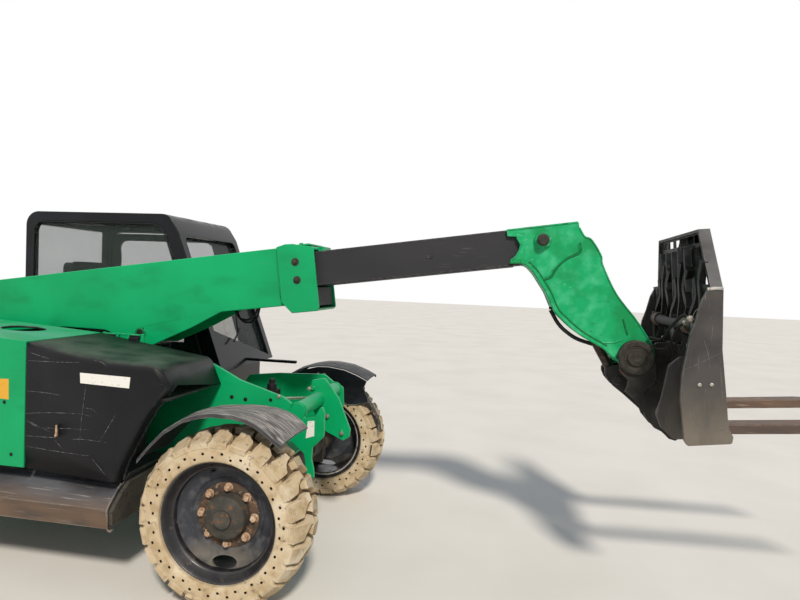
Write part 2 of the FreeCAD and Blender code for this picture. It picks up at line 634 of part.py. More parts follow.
def door_nodes():
    gap = d.door_gap
    low, high = "cab_left - door_thick", "cab_left"
    leaf = prism("XZ", door_outline(gap), low, high)
    hole = [
        (d.cab_rear + 70 + gap + 55, 1010, 30), (d.cab_rear + 70 + gap + 55, d.cab_roof - 130 - gap, 60),
        (-1040, d.cab_roof - 130 - gap, 50), (-1000, d.cab_roof - 160), (-745, 1010, 30)]
    handle = box(("-800", "-690"), ("cab_left", "cab_left + 14"), ("900", "925"))
    x_mid = "cab_rear + 70"
    reliefs = [box((x_mid, x_mid + " + 15"), ("cab_left - 7", "cab_left + 20"), (z + " - 62", z + " + 62"))
               for z in HINGE_HEIGHTS]
    open_leaf = cut(leaf, prism("XZ", hole, "cab_left - 60", "cab_left + 5"), *reliefs)
    for z in HINGE_HEIGHTS:
        barrel = join(rod("z", (x_mid, "cab_left + 5"), "9", z + " - 30", z + " + 30"),
                      box((x_mid, x_mid + " + 60"), ("cab_left - 4", "cab_left + 6"), (z + " - 30", z + " + 30")))
        bore = rod("z", (x_mid, "cab_left + 5"), "5 + running_gap", z + " - 35", z + " + 35")
        open_leaf = cut(join(open_leaf, barrel), bore)
    node("cab_door", REST, join(open_leaf, handle))
    inner = [(hole[0][0] + 0.4, 1010.4, 30), (hole[1][0] + 0.4, hole[1][1] - 0.4, 60),
             (-1040.4, hole[2][1] - 0.4, 50), (-1000.5, d.cab_roof - 160), (-745.5, 1010.4, 30)]
    node("door_glass", REST, prism("XZ", inner, "cab_left - 20", "cab_left - 14"))


def cab_fitting_nodes():
    base = box(("-1640", "-1260"), ("300", "690"), ("cab_floor + cab_post * 0.7 + 0.3", "cab_floor + 290"))
    cushion = box(("-1700", "-1200"), ("270", "720"), ("cab_floor + 290", "cab_floor + 420"))
    back = prism("XZ", [(-1780, 1050), (-1650, 1050), (-1720, 1600, 40), (-1810, 1600, 40)], "290", "700")
    node("seat", REST, join(base, cushion, back))
    low = d.cab_floor + 60
    console = prism("XZ", [(-840, low), (-840, 1060), (-790, 1100), (-700, 1000), (-690, 900), (-690, low)],
                    "400", "600")
    foot = box(("-840", "-690"), ("400", "600"), ("cab_floor + cab_post * 0.7 + 0.3", "cab_floor + 65"))
    dash = prism("YZ", [(140, 1000), (140, 1190), (840, 965), (840, 930), (600, 930)], "-790", "-675")
    column = prism("XZ", [(-820, 1090), (-930, 1230), (-910, 1245), (-780, 1100)], "475", "515")
    wheel = doc.addObject("Part::Torus", "SteeringWheel")
    wheel.Radius1 = 170
    wheel.Radius2 = 14
    tilt = FreeCAD.Rotation(V(0, -1, 0), 40)
    wheel.Placement = FreeCAD.Placement(V(-922, 495, 1240), tilt)
    spoke = doc.addObject("Part::Box", "Spoke")
    spoke.Length = 340
    spoke.Width = 40
    spoke.Height = 12
    spoke.Placement = FreeCAD.Placement(V(-922, 495, 1240) + tilt.multVec(V(-170, -20, -6)), tilt)
    node("dash_console", REST, join(console, foot, dash, column, wheel, spoke))


def mudguard_nodes():
    """Guards over the front wheels, carried by the knuckles so that they turn with the wheels."""
    thick = 6
    crowns = {
        "right": [(-413, 677), (-353, 749), (-282, 822), (-191, 885), (-115, 917), (-45, 934), (39, 936),
                  (108, 921), (177, 885), (246, 846), (304, 806)],
        "left": [(-413, 677), (-353, 755), (-285, 840), (-192, 896), (-114, 923), (-40, 938), (40, 941),
                 (156, 926), (249, 893), (322, 858)]}
    for name, side in (("left", 1), ("right", -1)):
        outer = crowns[name]
        inner = [(x * 0.985, z - thick) for x, z in reversed(outer)]
        lip = [(x * 0.94, z - 30) for x, z in reversed(outer)]
        near, far = "track_half - tyre_width / 2", "pod_side - 5"
        strip = prism("XZ", outer + inner, *sided(side, near, far))
        edge = prism("XZ", outer + lip, *sided(side, "pod_side - 13", far))
        skirt = prism("XZ", outer[5:] + [(x * 0.99 - 2, z - 80) for x, z in reversed(outer[5:])],
                      *sided(side, near, near + " + 6"))
        top = box(("-45", "30"), sided(side, "king_pin_half - 20", "track_half - tyre_width / 2 + 3"),
                  ("870", "880"))
        leg = box(("-45", "30"), sided(side, "king_pin_half - 20", "king_pin_half - 8"),
                  ("tyre_radius + knuckle_half_height + axle_fork_thick + 8.3", "876"))
        node("mudguard_" + name, REST, join(strip, edge, skirt, top, leg))


# Boom, drawn level from its pivot and then raised by the boom angle

def across(half):
    return "-(%s)" % half, str(half)


def boom_outer_node():
    side = [
        (-110, -80, 40), (1400, d.boom_bottom), (1676, -152, 80), (1850, -255, 60), (1960, -268, 40), (2223, -186, 60),
        (2416, d.boom_bottom), (d.collar_rear + 5, d.boom_bottom), (d.collar_rear + 5, d.boom_top),
        (420, d.boom_top), (0, 130, 60), (-110, 90, 60)]
    whole = prism("XZ", side, *across("boom_half"))
    tunnel = box(("480", "collar_rear + 10"), across("boom_half - boom_wall"),
                 ("boom_bottom + boom_wall", "boom_top - boom_wall"))
    slot = box(("1300", "2500"), across("boom_half - boom_wall"), ("-400", "boom_bottom"))
    collar_shape = [
        (d.collar_rear, -90), (d.collar_rear, d.collar_top), (2839, 227, 10), (2886, 224, 10), (2926, 212),
        (d.collar_front, 197, 12), (d.collar_front, d.collar_bottom, 22), (2841, d.collar_bottom)]
    collar = prism("XZ", collar_shape, *across("collar_half"))
    throat = box(("collar_rear - 60", "collar_front + 5"), across("inner_half + slide_gap"),
                 ("inner_bottom - slide_gap", "inner_top + slide_gap"))
    mouth = box(("collar_front - 110", "collar_front + 5"), across("collar_half - collar_wall"),
                ("collar_bottom + collar_wall", "194 - collar_wall"))
    rest_pads = [box(("collar_front - 60", "collar_front + 30"), across("70"), ("inner_top + slide_gap", "201"))]
    bore = rod("y", ("0", "0"), "boom_pin_radius + running_gap", *across("boom_half + 20"))
    caps = [rod("y", ("lift_eye_x", "lift_eye_z"), "30", low, high)
            for low, high in (("-boom_half - 8", "-boom_half + boom_wall"), ("boom_half - boom_wall", "boom_half + 8"))]
    node("boom_outer", ON_BOOM, join(cut(whole, tunnel, slot, bore), cut(collar, throat, mouth), *rest_pads, *caps))


def boom_inner_node():
    tube = box(("inner_rear", "inner_front"), across("inner_half"), ("inner_bottom", "inner_top"))
    pads = box(("inner_rear + 10", "inner_rear + 150"), across("boom_half - boom_wall - slide_gap"),
               ("boom_bottom + boom_wall + slide_gap", "boom_top - boom_wall - slide_gap"))
    hollow = box(("inner_rear - 5", "inner_front + 5"), across("inner_half - inner_wall"),
                 ("inner_bottom + inner_wall", "inner_top - inner_wall"))
    node("boom_inner", ON_BOOM, cut(join(tube, pads), hollow))


HEAD = [
    (4040, 176), (4402, 177, 10), (4404, 143), (4424, 98), (4457, 75), (4495, -7), (4500, -60), (4552, -210),
    (4637, -352), (4707, -500, 40), (4712, -590, 60), (4570, -600, 50), (4468, -483), (4356, -401), (4282, -321),
    (4241, -265), (4213, -178), (4187, -123), (4156, -62), (4123, -21), (4094, -8), (4040, -2), (4043, 10),
    (4077, 36, 20), (4102, 85, 30), (4094, 132, 15), (4042, 141)]


def boom_head_node():
    plates = [prism("XZ", HEAD, low, high) for low, high in (
        ("-head_half", "-inner_half - 0.3"), ("inner_half + 0.3", "head_half"))]
    front = prism("XZ", [(4075, 165), (4402, 166), (4404, 140), (4424, 96), (4457, 73), (4495, -9), (4500, -60),
                         (4552, -210), (4590, -275), (4577, -281), (4540, -215), (4486, -58), (4482, -14),
                         (4447, 62), (4412, 88), (4390, 140), (4388, 153), (4075, 152)],
                  *across("inner_half + 2"))
    throat = prism("XZ", [(4100, -8), (4123, -20), (4156, -61), (4187, -122), (4213, -177), (4241, -264),
                          (4282, -320), (4290, -313), (4251, -260), (4223, -173),
                          (4197, -117), (4166, -54), (4131, -10), (4106, 3)], *across("inner_half + 2"))
    boss = [rod("y", ("head_pin_x", "head_pin_z"), "36", low, high)
            for low, high in (("-head_half - 14", "-head_half + 5"), ("head_half - 5", "head_half + 14"))]
    pin = rod("y", ("head_pin_x", "head_pin_z"), "20", *across("head_half"))
    tilt_pin = rod("y", ("tilt_pin_x", "tilt_pin_z"), "tilt_pin_radius", *across("head_half + 50"))
    node("boom_head", ON_BOOM, join(*plates, front, throat, *boss, pin, tilt_pin))


def head_hose_node():
    """Hose along the head's underside, held at both ends by the head."""
    points = [V(4225, -98, -262), V(4262, -98, -350), V(4335, -98, -420), V(4418, -98, -455)]
    edges = []
    start = points[0]
    for i in range(1, len(points) - 1):
        back = points[i - 1] - points[i]
        ahead = points[i + 1] - points[i]
        half = back.getAngle(ahead) / 2
        reach = 0.45 * min(back.Length, ahead.Length)
        radius = reach * math.tan(half)
        unit_back = back.normalize()
        unit_ahead = ahead.normalize()
        middle = points[i] + (unit_back + unit_ahead).normalize() * (radius / math.sin(half) - radius)
        arc_start = points[i] + unit_back * reach
        arc_end = points[i] + unit_ahead * reach
        edges.append(Part.LineSegment(start, arc_start).toShape())
        edges.append(Part.Arc(arc_start, middle, arc_end).toShape())
        start = arc_end
    edges.append(Part.LineSegment(start, points[-1]).toShape())
    path = Part.Wire(edges)
    ring = Part.Wire(Part.Circle(points[0], (points[1] - points[0]).normalize(), 10).toShape())
    item = doc.addObject("Part::Feature", "Hose")
    item.Shape = path.makePipeShell([ring], True, False)
    clips = [box(("4218", "4235.5"), ("-106", "-90"), ("-258", "-246")),
             box(("4404", "4418"), ("-inner_half", "-90"), ("-458", "-415"))]
    node("head_hose", ON_BOOM, join(item, *clips))


# Cylinders, each drawn along its own X axis from the base pin

def cylinder_nodes(name, base, eye, barrel_radius, rod_radius, eye_radius, barrel_length, half_width, rod_start):
    run = eye - base
    turn = FreeCAD.Rotation(V(1, 0, 0), V(run.x, 0, run.z))
    place = FreeCAD.Placement(ORIGIN_SHIFT + base, turn)
    length = run.Length
    barrel = rod("x", ("0", "0"), str(barrel_radius), "0", str(barrel_length))
    foot = rod("y", ("0", "0"), str(barrel_radius * 0.95), "-%s" % half_width, str(half_width))
    bore = rod("x", ("0", "0"), str(rod_radius + d.running_gap), str(barrel_radius * 1.3), str(barrel_length + 5))
    pin_hole = rod("y", ("0", "0"), "18 + running_gap" if name == "lift" else "20 + running_gap",
                   "-%s" % (barrel_radius + 5), str(barrel_radius + 5))
    node(name + "_barrel", place, cut(join(barrel, foot), bore, pin_hole))
    shaft = rod("x", ("0", "0"), str(rod_radius), str(barrel_length * rod_start), str(length))
    ring = rod("y", (str(length), "0"), str(eye_radius), "-%s" % half_width, str(half_width))
    pin_end = rod("y", (str(length), "0"), str(eye_radius * 0.45), "-%s" % (half_width + 6), str(half_width + 6))
    node(name + "_rod", place, join(shaft, ring, pin_end))


def lift_points():
    base = V(d.lift_base_x, d.boom_y, d.lift_base_z)
    eye = BOOM_PIVOT + BOOM_TURN.multVec(V(d.lift_eye_x, 0, d.lift_eye_z))
    return base, eye


def tilt_points():
    base = BOOM_PIVOT + BOOM_TURN.multVec(V(d.head_pin_x, 0, d.head_pin_z))
    eye = TILT_PIN + CARRIAGE_TURN.multVec(V(d.tilt_eye_u, 0, d.tilt_eye_w))
    return base, eye


# Carriage, drawn upright from the tilt pin and then leaned back by the carriage angle

def hitch_node():
    ear = [(-79, -31), (-79, -71, 15), (-42, -113, 10), (-48, -142), (-58, -173), (10, -239, 8), (18, -233, 8),
           (37, -164, 15), (71, -140, 15), (93, -108, 10), (93, -45), (60, 62, 40), (-60, 62, 50)]
    ribs = [(-138, -60, 20), (-138, -90), (-128, -120), (-100, -157), (-53, -199), (46, -298), (55, -324),
            (92, -375), (129, -396), (161, -432), (192, -442, 8), (211.7, -430), (211.7, 60), (110, 60, 20),
            (95, -60, 30), (-60, -50)]
    solids = []
    for low, high in (("head_half + 6", "head_half + 31"), ("-head_half - 31", "-head_half - 6")):
        solids.append(prism("XZ", ear, low, high))
    for low, high in (("48", "70"), ("-70", "-48")):
        solids.append(prism("XZ", ribs, low, high))
    plate = box(("194", "211.7"), across("head_half + 60"), ("-330", "60"))
    ties = [rod("y", (x, z), radius, *across("head_half + 25"))
            for x, z, radius in (("-2", "-185", "30"), ("60", "-125", "22"))]
    bosses = [rod("y", ("0", "0"), "84", low, high) for low, high in (
        ("head_half + 6", "head_half + 44"), ("-head_half - 44", "-head_half - 6"))]
    bore = rod("y", ("0", "0"), "tilt_pin_radius + running_gap", *across("head_half + 60"))
    lug_caps = [rod("y", ("tilt_eye_u", "tilt_eye_w"), "22", low, high) for low, high in (("66", "80"), ("-80", "-66"))]
    node("hitch", ON_CARRIAGE, cut(join(*solids, plate, *ties, *bosses, *lug_caps), bore))


SIDE_PLATE = [
    (107, -318, 15), (98, -139, 60), (108, -27, 40), (127, 50), (147, 144), (172, 203), (199, 286), (227, 333),
    (287, 333, 6), (274, 71), (283, -141), (286, -265), (304, -300, 8), (298, -330, 12), (120, -339, 12)]


def spread(low, high):
    return "-carriage_right + " + low, "carriage_left - " + high


def carriage_node():
    sides = [prism("XZ", SIDE_PLATE, low, high) for low, high in (
        ("-carriage_right", "-carriage_right + carriage_plate"), ("carriage_left - carriage_plate", "carriage_left"))]
    gusset = [(140, 27, 10), (92, -9, 15), (52, -168, 40), (27, -228, 40), (47, -292, 30), (101, -348, 30),
              (225, -348), (225, 27)]
    ribs = [prism("XZ", gusset, low, high) for low, high in (
        ("-carriage_right + 150", "-carriage_right + 168"), ("carriage_left - 68", "carriage_left - 50"))]
    bars = [box(("212", "carriage_face"), spread("5", "5"), (low, high)) for low, high in (
        ("-330", "-230"), ("-20", "60"))]
    shaft = rod("y", ("214", "160"), "24", *spread("5", "5"))
    uprights = [box((rear, "carriage_face"), (low, high), ("-320", "200")) for rear, low, high in (
        ("212", "-40", "40"), ("196", "-carriage_right + 150", "-carriage_right + 180"),
        ("196", "carriage_left - 90", "carriage_left - 50"))]
    node("carriage", ON_CARRIAGE, join(*sides, *ribs, *bars, shaft, *uprights))


def guard_node():
    """Open guard above the carriage, narrower at its top, cut by rows of openings between deep slats."""
    foot_right = d.carriage_right - d.carriage_plate - 6
    foot_left = d.carriage_left - d.carriage_plate - 6
    top_right, top_left = d.guard_top_right, d.guard_top_left
    knee = 335
    frame = [(-foot_right, 205), (foot_left, 205), (foot_left, knee), (top_left, d.guard_top),
             (-top_right, d.guard_top), (-foot_right, knee)]
    plate = prism("YZ", frame, "256", "268")
    holes = []
    rows = ((235, 300, 7, 24), (345, 428, 6, 20), (455, 520, 6, 26), (542, 578, 6, 22))
    for low, high, count, bar in rows:
        share = max(0, ((low + high) / 2 - knee) / (d.guard_top - knee))
        right_edge = -(foot_right + (top_right - foot_right) * share) + 22
        left_edge = foot_left + (top_left - foot_left) * share - 22
        pitch = (left_edge - right_edge) / count
        for i in range(count):
            right = right_edge + i * pitch + bar / 2
            holes.append(box(("250", "275"), (str(right), str(right + pitch - bar)), (str(low), str(high))))
    slats = []
    for i in range(8):
        side = -foot_right + 75 + i * 112
        if side < foot_left - 40:
            high = 520 if 2 <= i <= 6 else 330
            slats.append(box(("222", "257"), (str(side), str(side + 12)), ("206", str(high))))
    rim = [prism("YZ", [(top, d.guard_top), (top - way * 18, d.guard_top), (foot - way * 14, knee),
                        (foot + way * 5.7, knee)], "240", "291") for way, top, foot in (
        (-1, -top_right, -foot_right), (1, top_left, foot_left))]
    caps = [box((low, high), ("-guard_top_right", "guard_top_left"), ("guard_top - 14", "guard_top"))
            for low, high in (("240", "252"), ("256", "291"))]
    tie = box(("250", "258"), ("-guard_top_right", "guard_top_left"), ("guard_top - 10", "guard_top - 4"))
    feet = [box(("226", "268"), (low, high), ("185", "340")) for low, high in (
        ("-carriage_right + carriage_plate + 0.3", "-carriage_right + carriage_plate + 20"),
        ("carriage_left - carriage_plate - 20", "carriage_left - carriage_plate - 0.3"))]
    node("load_guard", ON_CARRIAGE, join(cut(plate, *holes), *slats, *rim, *caps, tie, *feet))


def forks_node():
    forks = []
    face = d.carriage_face + SEAT
    for side in (1, -1):
        shape = [
            (face, d.fork_bottom, 25), (d.fork_tip, d.fork_bottom), (d.fork_tip, d.fork_bottom + 12),
            (face + d.fork_thick + 620, d.fork_bottom + d.fork_thick), (face + d.fork_thick, d.fork_bottom + d.fork_thick, 15),
            (face + d.fork_thick, d.fork_top), (face, d.fork_top)]
        forks.append(prism("XZ", shape, *sided(side, "fork_half_spacing - fork_width / 2",
                                                "fork_half_spacing + fork_width / 2")))
    node("forks", ON_CARRIAGE, *forks)


wheel_nodes()
knuckle_nodes()
axle_nodes()
chassis_node()
front_cross_node()
sill_nodes()
engine_node()
pod_nodes()
rear_nodes()
cab_nodes()
door_nodes()
cab_fitting_nodes()
mudguard_nodes()
boom_outer_node()
boom_inner_node()
boom_head_node()
head_hose_node()
lift_base, lift_eye = lift_points()
cylinder_nodes("lift", lift_base, lift_eye, d.lift_barrel_radius, d.lift_rod_radius, d.lift_eye_radius, 1120, 40, 0.42)
tilt_base, tilt_eye = tilt_points()
cylinder_nodes("tilt", tilt_base, tilt_eye, d.tilt_barrel_radius, d.tilt_rod_radius, d.tilt_eye_radius, 520, 38, 0.6)
hitch_node()
carriage_node()
guard_node()
forks_node()

doc.recompute()
for item in doc.Objects:
    if "Invalid" in item.State or "Error" in item.State:
        raise RuntimeError("failed object: %s %s %s" % (item.Name, item.Label, item.ExpressionEngine))
for item in NODES:
    if item.Shape.isNull() or not item.Shape.isValid() or not item.Shape.Solids:
        raise RuntimeError("bad shape: " + item.Label)

os.makedirs("parts", exist_ok=True)
for item in NODES:
    item.Shape.exportStep("parts/" + item.Label + ".step")
    print(item.Label, len(item.Shape.Solids), round(item.Shape.Volume / 1e6, 3))
whole = Part.makeCompound([item.Shape for item in NODES])
print(len(NODES), whole.BoundBox)
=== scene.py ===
import json
import math
import random

import bmesh
import bpy
from mathutils import Matrix, Vector
from mathutils.geometry import delaunay_2d_cdt


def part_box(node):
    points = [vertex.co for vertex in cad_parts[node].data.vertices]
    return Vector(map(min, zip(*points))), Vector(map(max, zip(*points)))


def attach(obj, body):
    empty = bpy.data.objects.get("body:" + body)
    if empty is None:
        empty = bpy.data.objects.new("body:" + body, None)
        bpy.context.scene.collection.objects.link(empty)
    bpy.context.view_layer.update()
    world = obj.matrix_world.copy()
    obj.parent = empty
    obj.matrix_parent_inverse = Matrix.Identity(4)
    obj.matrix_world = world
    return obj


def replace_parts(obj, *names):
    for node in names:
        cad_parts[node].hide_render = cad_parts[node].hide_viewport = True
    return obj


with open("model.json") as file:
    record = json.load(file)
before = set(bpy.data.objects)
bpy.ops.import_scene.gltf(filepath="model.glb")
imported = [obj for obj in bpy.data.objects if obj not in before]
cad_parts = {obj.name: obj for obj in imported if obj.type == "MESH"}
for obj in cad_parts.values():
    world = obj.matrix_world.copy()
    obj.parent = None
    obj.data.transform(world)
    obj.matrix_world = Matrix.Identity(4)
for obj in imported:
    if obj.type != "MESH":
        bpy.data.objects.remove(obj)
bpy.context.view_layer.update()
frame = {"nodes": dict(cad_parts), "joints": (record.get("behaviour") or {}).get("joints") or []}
nodes = frame["nodes"]
joints = {joint["name"]: joint for joint in frame["joints"]}
scene = bpy.context.scene
scene.view_settings.view_transform = "Standard"
chance = random.Random(11)

# Local frames: millimetres, X along the frame's own length, Y to the machine's left

MM = 0.001
CARRIAGE_LEAN = math.radians(5)


def local_frame(origin, forward):
    """Matrix from a frame's millimetres to the row's metres."""
    along = Vector(forward).normalized()
    left = Vector((0, 1, 0))
    turn = Matrix((along, left, along.cross(left))).transposed().to_4x4()
    return Matrix.Translation(origin) @ turn @ Matrix.Scale(MM, 4)


tyre_low, tyre_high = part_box("tyre_front_right")
AXLE_X = (tyre_low.x + tyre_high.x) / 2
MACHINE = local_frame((AXLE_X, 0, 0), (1, 0, 0))
BOOM = local_frame(joints["boom_lift"]["pos_m"], joints["boom_extend"]["axis"])
CARRIAGE_AHEAD = (math.cos(CARRIAGE_LEAN), 0, math.sin(CARRIAGE_LEAN))
CARRIAGE = local_frame(joints["carriage_tilt"]["pos_m"], CARRIAGE_AHEAD)
LIFT = local_frame(joints["lift_cylinder_swing"]["pos_m"], joints["lift_piston_stroke"]["axis"])
TILT = local_frame(joints["tilt_cylinder_swing"]["pos_m"], joints["tilt_piston_stroke"]["axis"])
WHEELS = ("front_left", "front_right", "rear_left", "rear_right")


def wheel_frame(name):
    """A wheel's own frame, its Y pointing away from the machine."""
    low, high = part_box("tyre_" + name)
    turn = Matrix.Rotation(math.pi if name.endswith("right") else 0, 4, "Z")
    return Matrix.Translation((low + high) / 2) @ turn @ Matrix.Scale(MM, 4)


# Camera, light and floor

CAMERA_PLACE = Vector((1.258 + AXLE_X, -3.398, 1.556))
CAMERA_YAW = math.radians(10.309)
CAMERA_PITCH = math.radians(1.864)
CAMERA_ROLL = math.radians(2.277)
CAMERA_LENS = 26.97
FILM_WIDTH = 36
SUN_FROM = (0.27, -0.69, 0.67)
SUN_ENERGY = 3.0
SUN_SPREAD = math.radians(7)
SKY_FILL = 0.42
FLOOR_SIDE = 80


def make_camera():
    """Stands where the photograph was taken, at a person's eye height beside the front wheel."""
    level = math.cos(CAMERA_PITCH)
    ahead = Vector((-math.sin(CAMERA_YAW) * level, math.cos(CAMERA_YAW) * level, -math.sin(CAMERA_PITCH)))
    side = ahead.cross(Vector((0, 0, 1))).normalized()
    above = side.cross(ahead)
    right = side * math.cos(CAMERA_ROLL) + above * math.sin(CAMERA_ROLL)
    top = above * math.cos(CAMERA_ROLL) - side * math.sin(CAMERA_ROLL)
    lens = bpy.data.cameras.new("camera")
    lens.lens = CAMERA_LENS
    lens.sensor_width = FILM_WIDTH
    lens.clip_end = 200
    camera = bpy.data.objects.new("camera", lens)
    scene.collection.objects.link(camera)
    turn = Matrix((right, top, -ahead)).transposed().to_4x4()
    camera.matrix_world = Matrix.Translation(CAMERA_PLACE) @ turn
    scene.camera = camera


def linear(code):
    """The linear colour of an sRGB hex value."""
    shares = [int(code[i:i + 2], 16) / 255 for i in (1, 3, 5)]
    return tuple(s / 12.92 if s <= 0.04045 else ((s + 0.055) / 1.055) ** 2.4 for s in shares) + (1.0,)


def add(tree, kind, inputs=None, **settings):
    """One shader node with its settings, each input given a value or the socket that feeds it."""
    item = tree.nodes.new("ShaderNode" + kind)
    for name, value in settings.items():
        setattr(item, name, value)
    for name, value in (inputs or {}).items():
        if isinstance(value, bpy.types.NodeSocket):
            tree.links.new(value, item.inputs[name])
        else:
            item.inputs[name].default_value = value
    return item


def make_light():
    """A pale sky that reads as plain white behind the machine, and one soft sun from front right."""
    world = bpy.data.worlds.new("studio")
    world.use_nodes = True
    scene.world = world
    tree = world.node_tree
    path = add(tree, "LightPath")
    seen = path.outputs["Is Camera Ray"]
    for ray in ("Is Glossy Ray", "Is Transmission Ray"):
        seen = add(tree, "Math", {0: seen, 1: path.outputs[ray]}, operation="MAXIMUM").outputs[0]
    backdrop = add(tree, "Background", {"Color": linear("#FFFFFF"), "Strength": 1.0})
    fill = tree.nodes["Background"]
    fill.inputs["Color"].default_value = linear("#E9F0FA")
    fill.inputs["Strength"].default_value = SKY_FILL
    mix = add(tree, "MixShader", {0: seen, 1: fill.outputs[0], 2: backdrop.outputs[0]})
    tree.links.new(mix.outputs[0], tree.nodes["World Output"].inputs["Surface"])
    sun = bpy.data.lights.new("sun", "SUN")
    sun.energy = SUN_ENERGY
    sun.angle = SUN_SPREAD
    sun.color = linear("#FFF6E8")[:3]
    lamp = bpy.data.objects.new("sun", sun)
    lamp.rotation_euler = Vector(SUN_FROM).to_track_quat("Z", "Y").to_euler()
    scene.collection.objects.link(lamp)


# Materials: a base and the coats over it, each coat where its mask is 1

class Finish:
    """A material laid on in coats, its patterns sized in real millimetres."""

    def __init__(self, name, colour, rough, sheen=0.25, **sockets):
        self.material = bpy.data.materials.new(name)
        self.material.use_nodes = True
        self.tree = self.material.node_tree
        self.shader = self.tree.nodes["Principled BSDF"]
        self.shader.inputs["Specular IOR Level"].default_value = sheen
        for socket, value in sockets.items():
            self.shader.inputs[socket.replace("_", " ")].default_value = value
        coordinates = add(self.tree, "TexCoord")
        self.where = coordinates.outputs["Object"]
        self.facing = coordinates.outputs["Normal"]
        self.colour = linear(colour)
        self.rough = rough
        self.bump = None

    def between(self, value, low, high):
        """The value's travel from low to high, as 0 to 1."""
        return add(self.tree, "MapRange", {"Value": value, "From Min": low, "From Max": high}).outputs[0]

    def cloud(self, size, low, high, stretch=(1, 1, 1), detail=4.0, turn=(0, 0, 0)):
        """Soft patches about size mm across, longer along an axis whose stretch is under 1."""
        scale = [share * 1000 / size for share in stretch]
        spread = add(self.tree, "Mapping", {"Vector": self.where, "Scale": scale, "Rotation": turn})
        noise = add(self.tree, "TexNoise", {"Vector": spread.outputs[0], "Scale": 1.0, "Detail": detail})
        return self.between(noise.outputs[0], low, high)

    def edges(self, width, low=0.01, high=0.12):
        """The outer few millimetres of each edge."""
        flat = add(self.tree, "NewGeometry").outputs["Normal"]
        soft = add(self.tree, "Bevel", {"Radius": width * MM}, samples=4)
        level = add(self.tree, "VectorMath", {0: soft.outputs[0], 1: flat}, operation="DOT_PRODUCT")
        return self.between(level.outputs["Value"], 1 - low, 1 - high)

    def axis(self, source, letter, low, high):
        """The travel of one coordinate of a place or a normal."""
        split = add(self.tree, "SeparateXYZ", {0: source})
        return self.between(split.outputs[letter], low, high)

    def both(self, first, second):
        """A mask that is 1 where both masks are."""
        return add(self.tree, "Math", {0: first, 1: second}, operation="MULTIPLY").outputs[0]

    def coat(self, mask, colour, rough=None):
        mix = add(self.tree, "Mix", {0: mask, 6: self.colour, 7: linear(colour)}, data_type="RGBA")
        self.colour = mix.outputs[2]
        if rough is not None:
            self.rough = add(self.tree, "Mix", {0: mask, 2: self.rough, 3: rough}).outputs[0]

    def relief(self, height, depth):
        """Raises the surface by depth mm where the height is 1."""
        inputs = {"Height": height, "Distance": depth * MM, "Strength": 1.0}
        if self.bump is not None:
            inputs["Normal"] = self.bump
        self.bump = add(self.tree, "Bump", inputs).outputs[0]

    def done(self):
        for name, value in (("Base Color", self.colour), ("Roughness", self.rough), ("Normal", self.bump)):
            if isinstance(value, bpy.types.NodeSocket):
                self.tree.links.new(value, self.shader.inputs[name])
            elif value is not None:
                self.shader.inputs[name].default_value = value
        return self.material


def baked_enamel():
    """Baked enamel on steel plate: satin, chalked paler in clouds, its edges rubbed dark and chipped."""
    f = Finish("baked_enamel_green", "#079C60", 0.34, 0.25)
    f.coat(f.cloud(520, 0.4, 0.7), "#0AAB6B", 0.4)
    f.coat(f.cloud(140, 0.52, 0.8, (0.6, 1, 1.3)), "#078F56")
    f.coat(f.both(f.cloud(34, 0.66, 0.72, (0.3, 1, 1), 6), f.cloud(300, 0.5, 0.6)), "#2F9F6B", 0.6)
    f.coat(f.both(f.axis(f.facing, "Z", 0.6, 0.95), f.cloud(160, 0.3, 0.7)), "#56A488", 0.62)
    f.coat(f.both(f.edges(5), f.cloud(22, 0.52, 0.6)), "#1C4335", 0.6)
    f.coat(f.both(f.edges(4), f.cloud(9, 0.6, 0.66)), "#5A4334", 0.8)
    f.relief(f.cloud(2.2, 0.2, 0.8), 0.035)
    return f.done()


def chalked_enamel():
    """The same enamel on the boom head, rubbed by loads: paler cloudy patches over the flat plates."""
    f = Finish("chalked_enamel_green", "#0CA263", 0.42)
    f.coat(f.cloud(60, 0.45, 0.7, (1, 1, 1), 6), "#3DB680", 0.55)
    f.coat(f.cloud(150, 0.48, 0.66, detail=6), "#0B8E50", 0.4)
    rubs = f.cloud(20, 0.6, 0.7, (0.5, 1, 1), 7, (0, 0.6, 0))
    f.coat(f.both(rubs, f.cloud(160, 0.5, 0.62)), "#5BC095", 0.6)
    f.coat(f.both(f.cloud(20, 0.66, 0.72), f.cloud(200, 0.5, 0.6)), "#17593A")
    f.coat(f.both(f.edges(6), f.cloud(24, 0.5, 0.62)), "#1F4636", 0.6)
    f.relief(f.cloud(2.2, 0.2, 0.8), 0.035)
    return f.done()


def charcoal_paint():
    """Charcoal machine paint on the sliding boom: matt, dusty, with pale rub marks near its lower edge."""
    f = Finish("charcoal_machine_paint", "#27282C", 0.55)
    f.coat(f.cloud(300, 0.4, 0.7, (0.4, 1, 1)), "#323236", 0.62)
    f.coat(f.both(f.cloud(8, 0.62, 0.68, (0.05, 1, 1), 5), f.cloud(400, 0.48, 0.6)), "#504E4D", 0.7)
    f.coat(f.both(f.edges(6), f.cloud(30, 0.45, 0.6)), "#67625D", 0.6)
    f.relief(f.cloud(2.5, 0.2, 0.8), 0.03)
    return f.done()


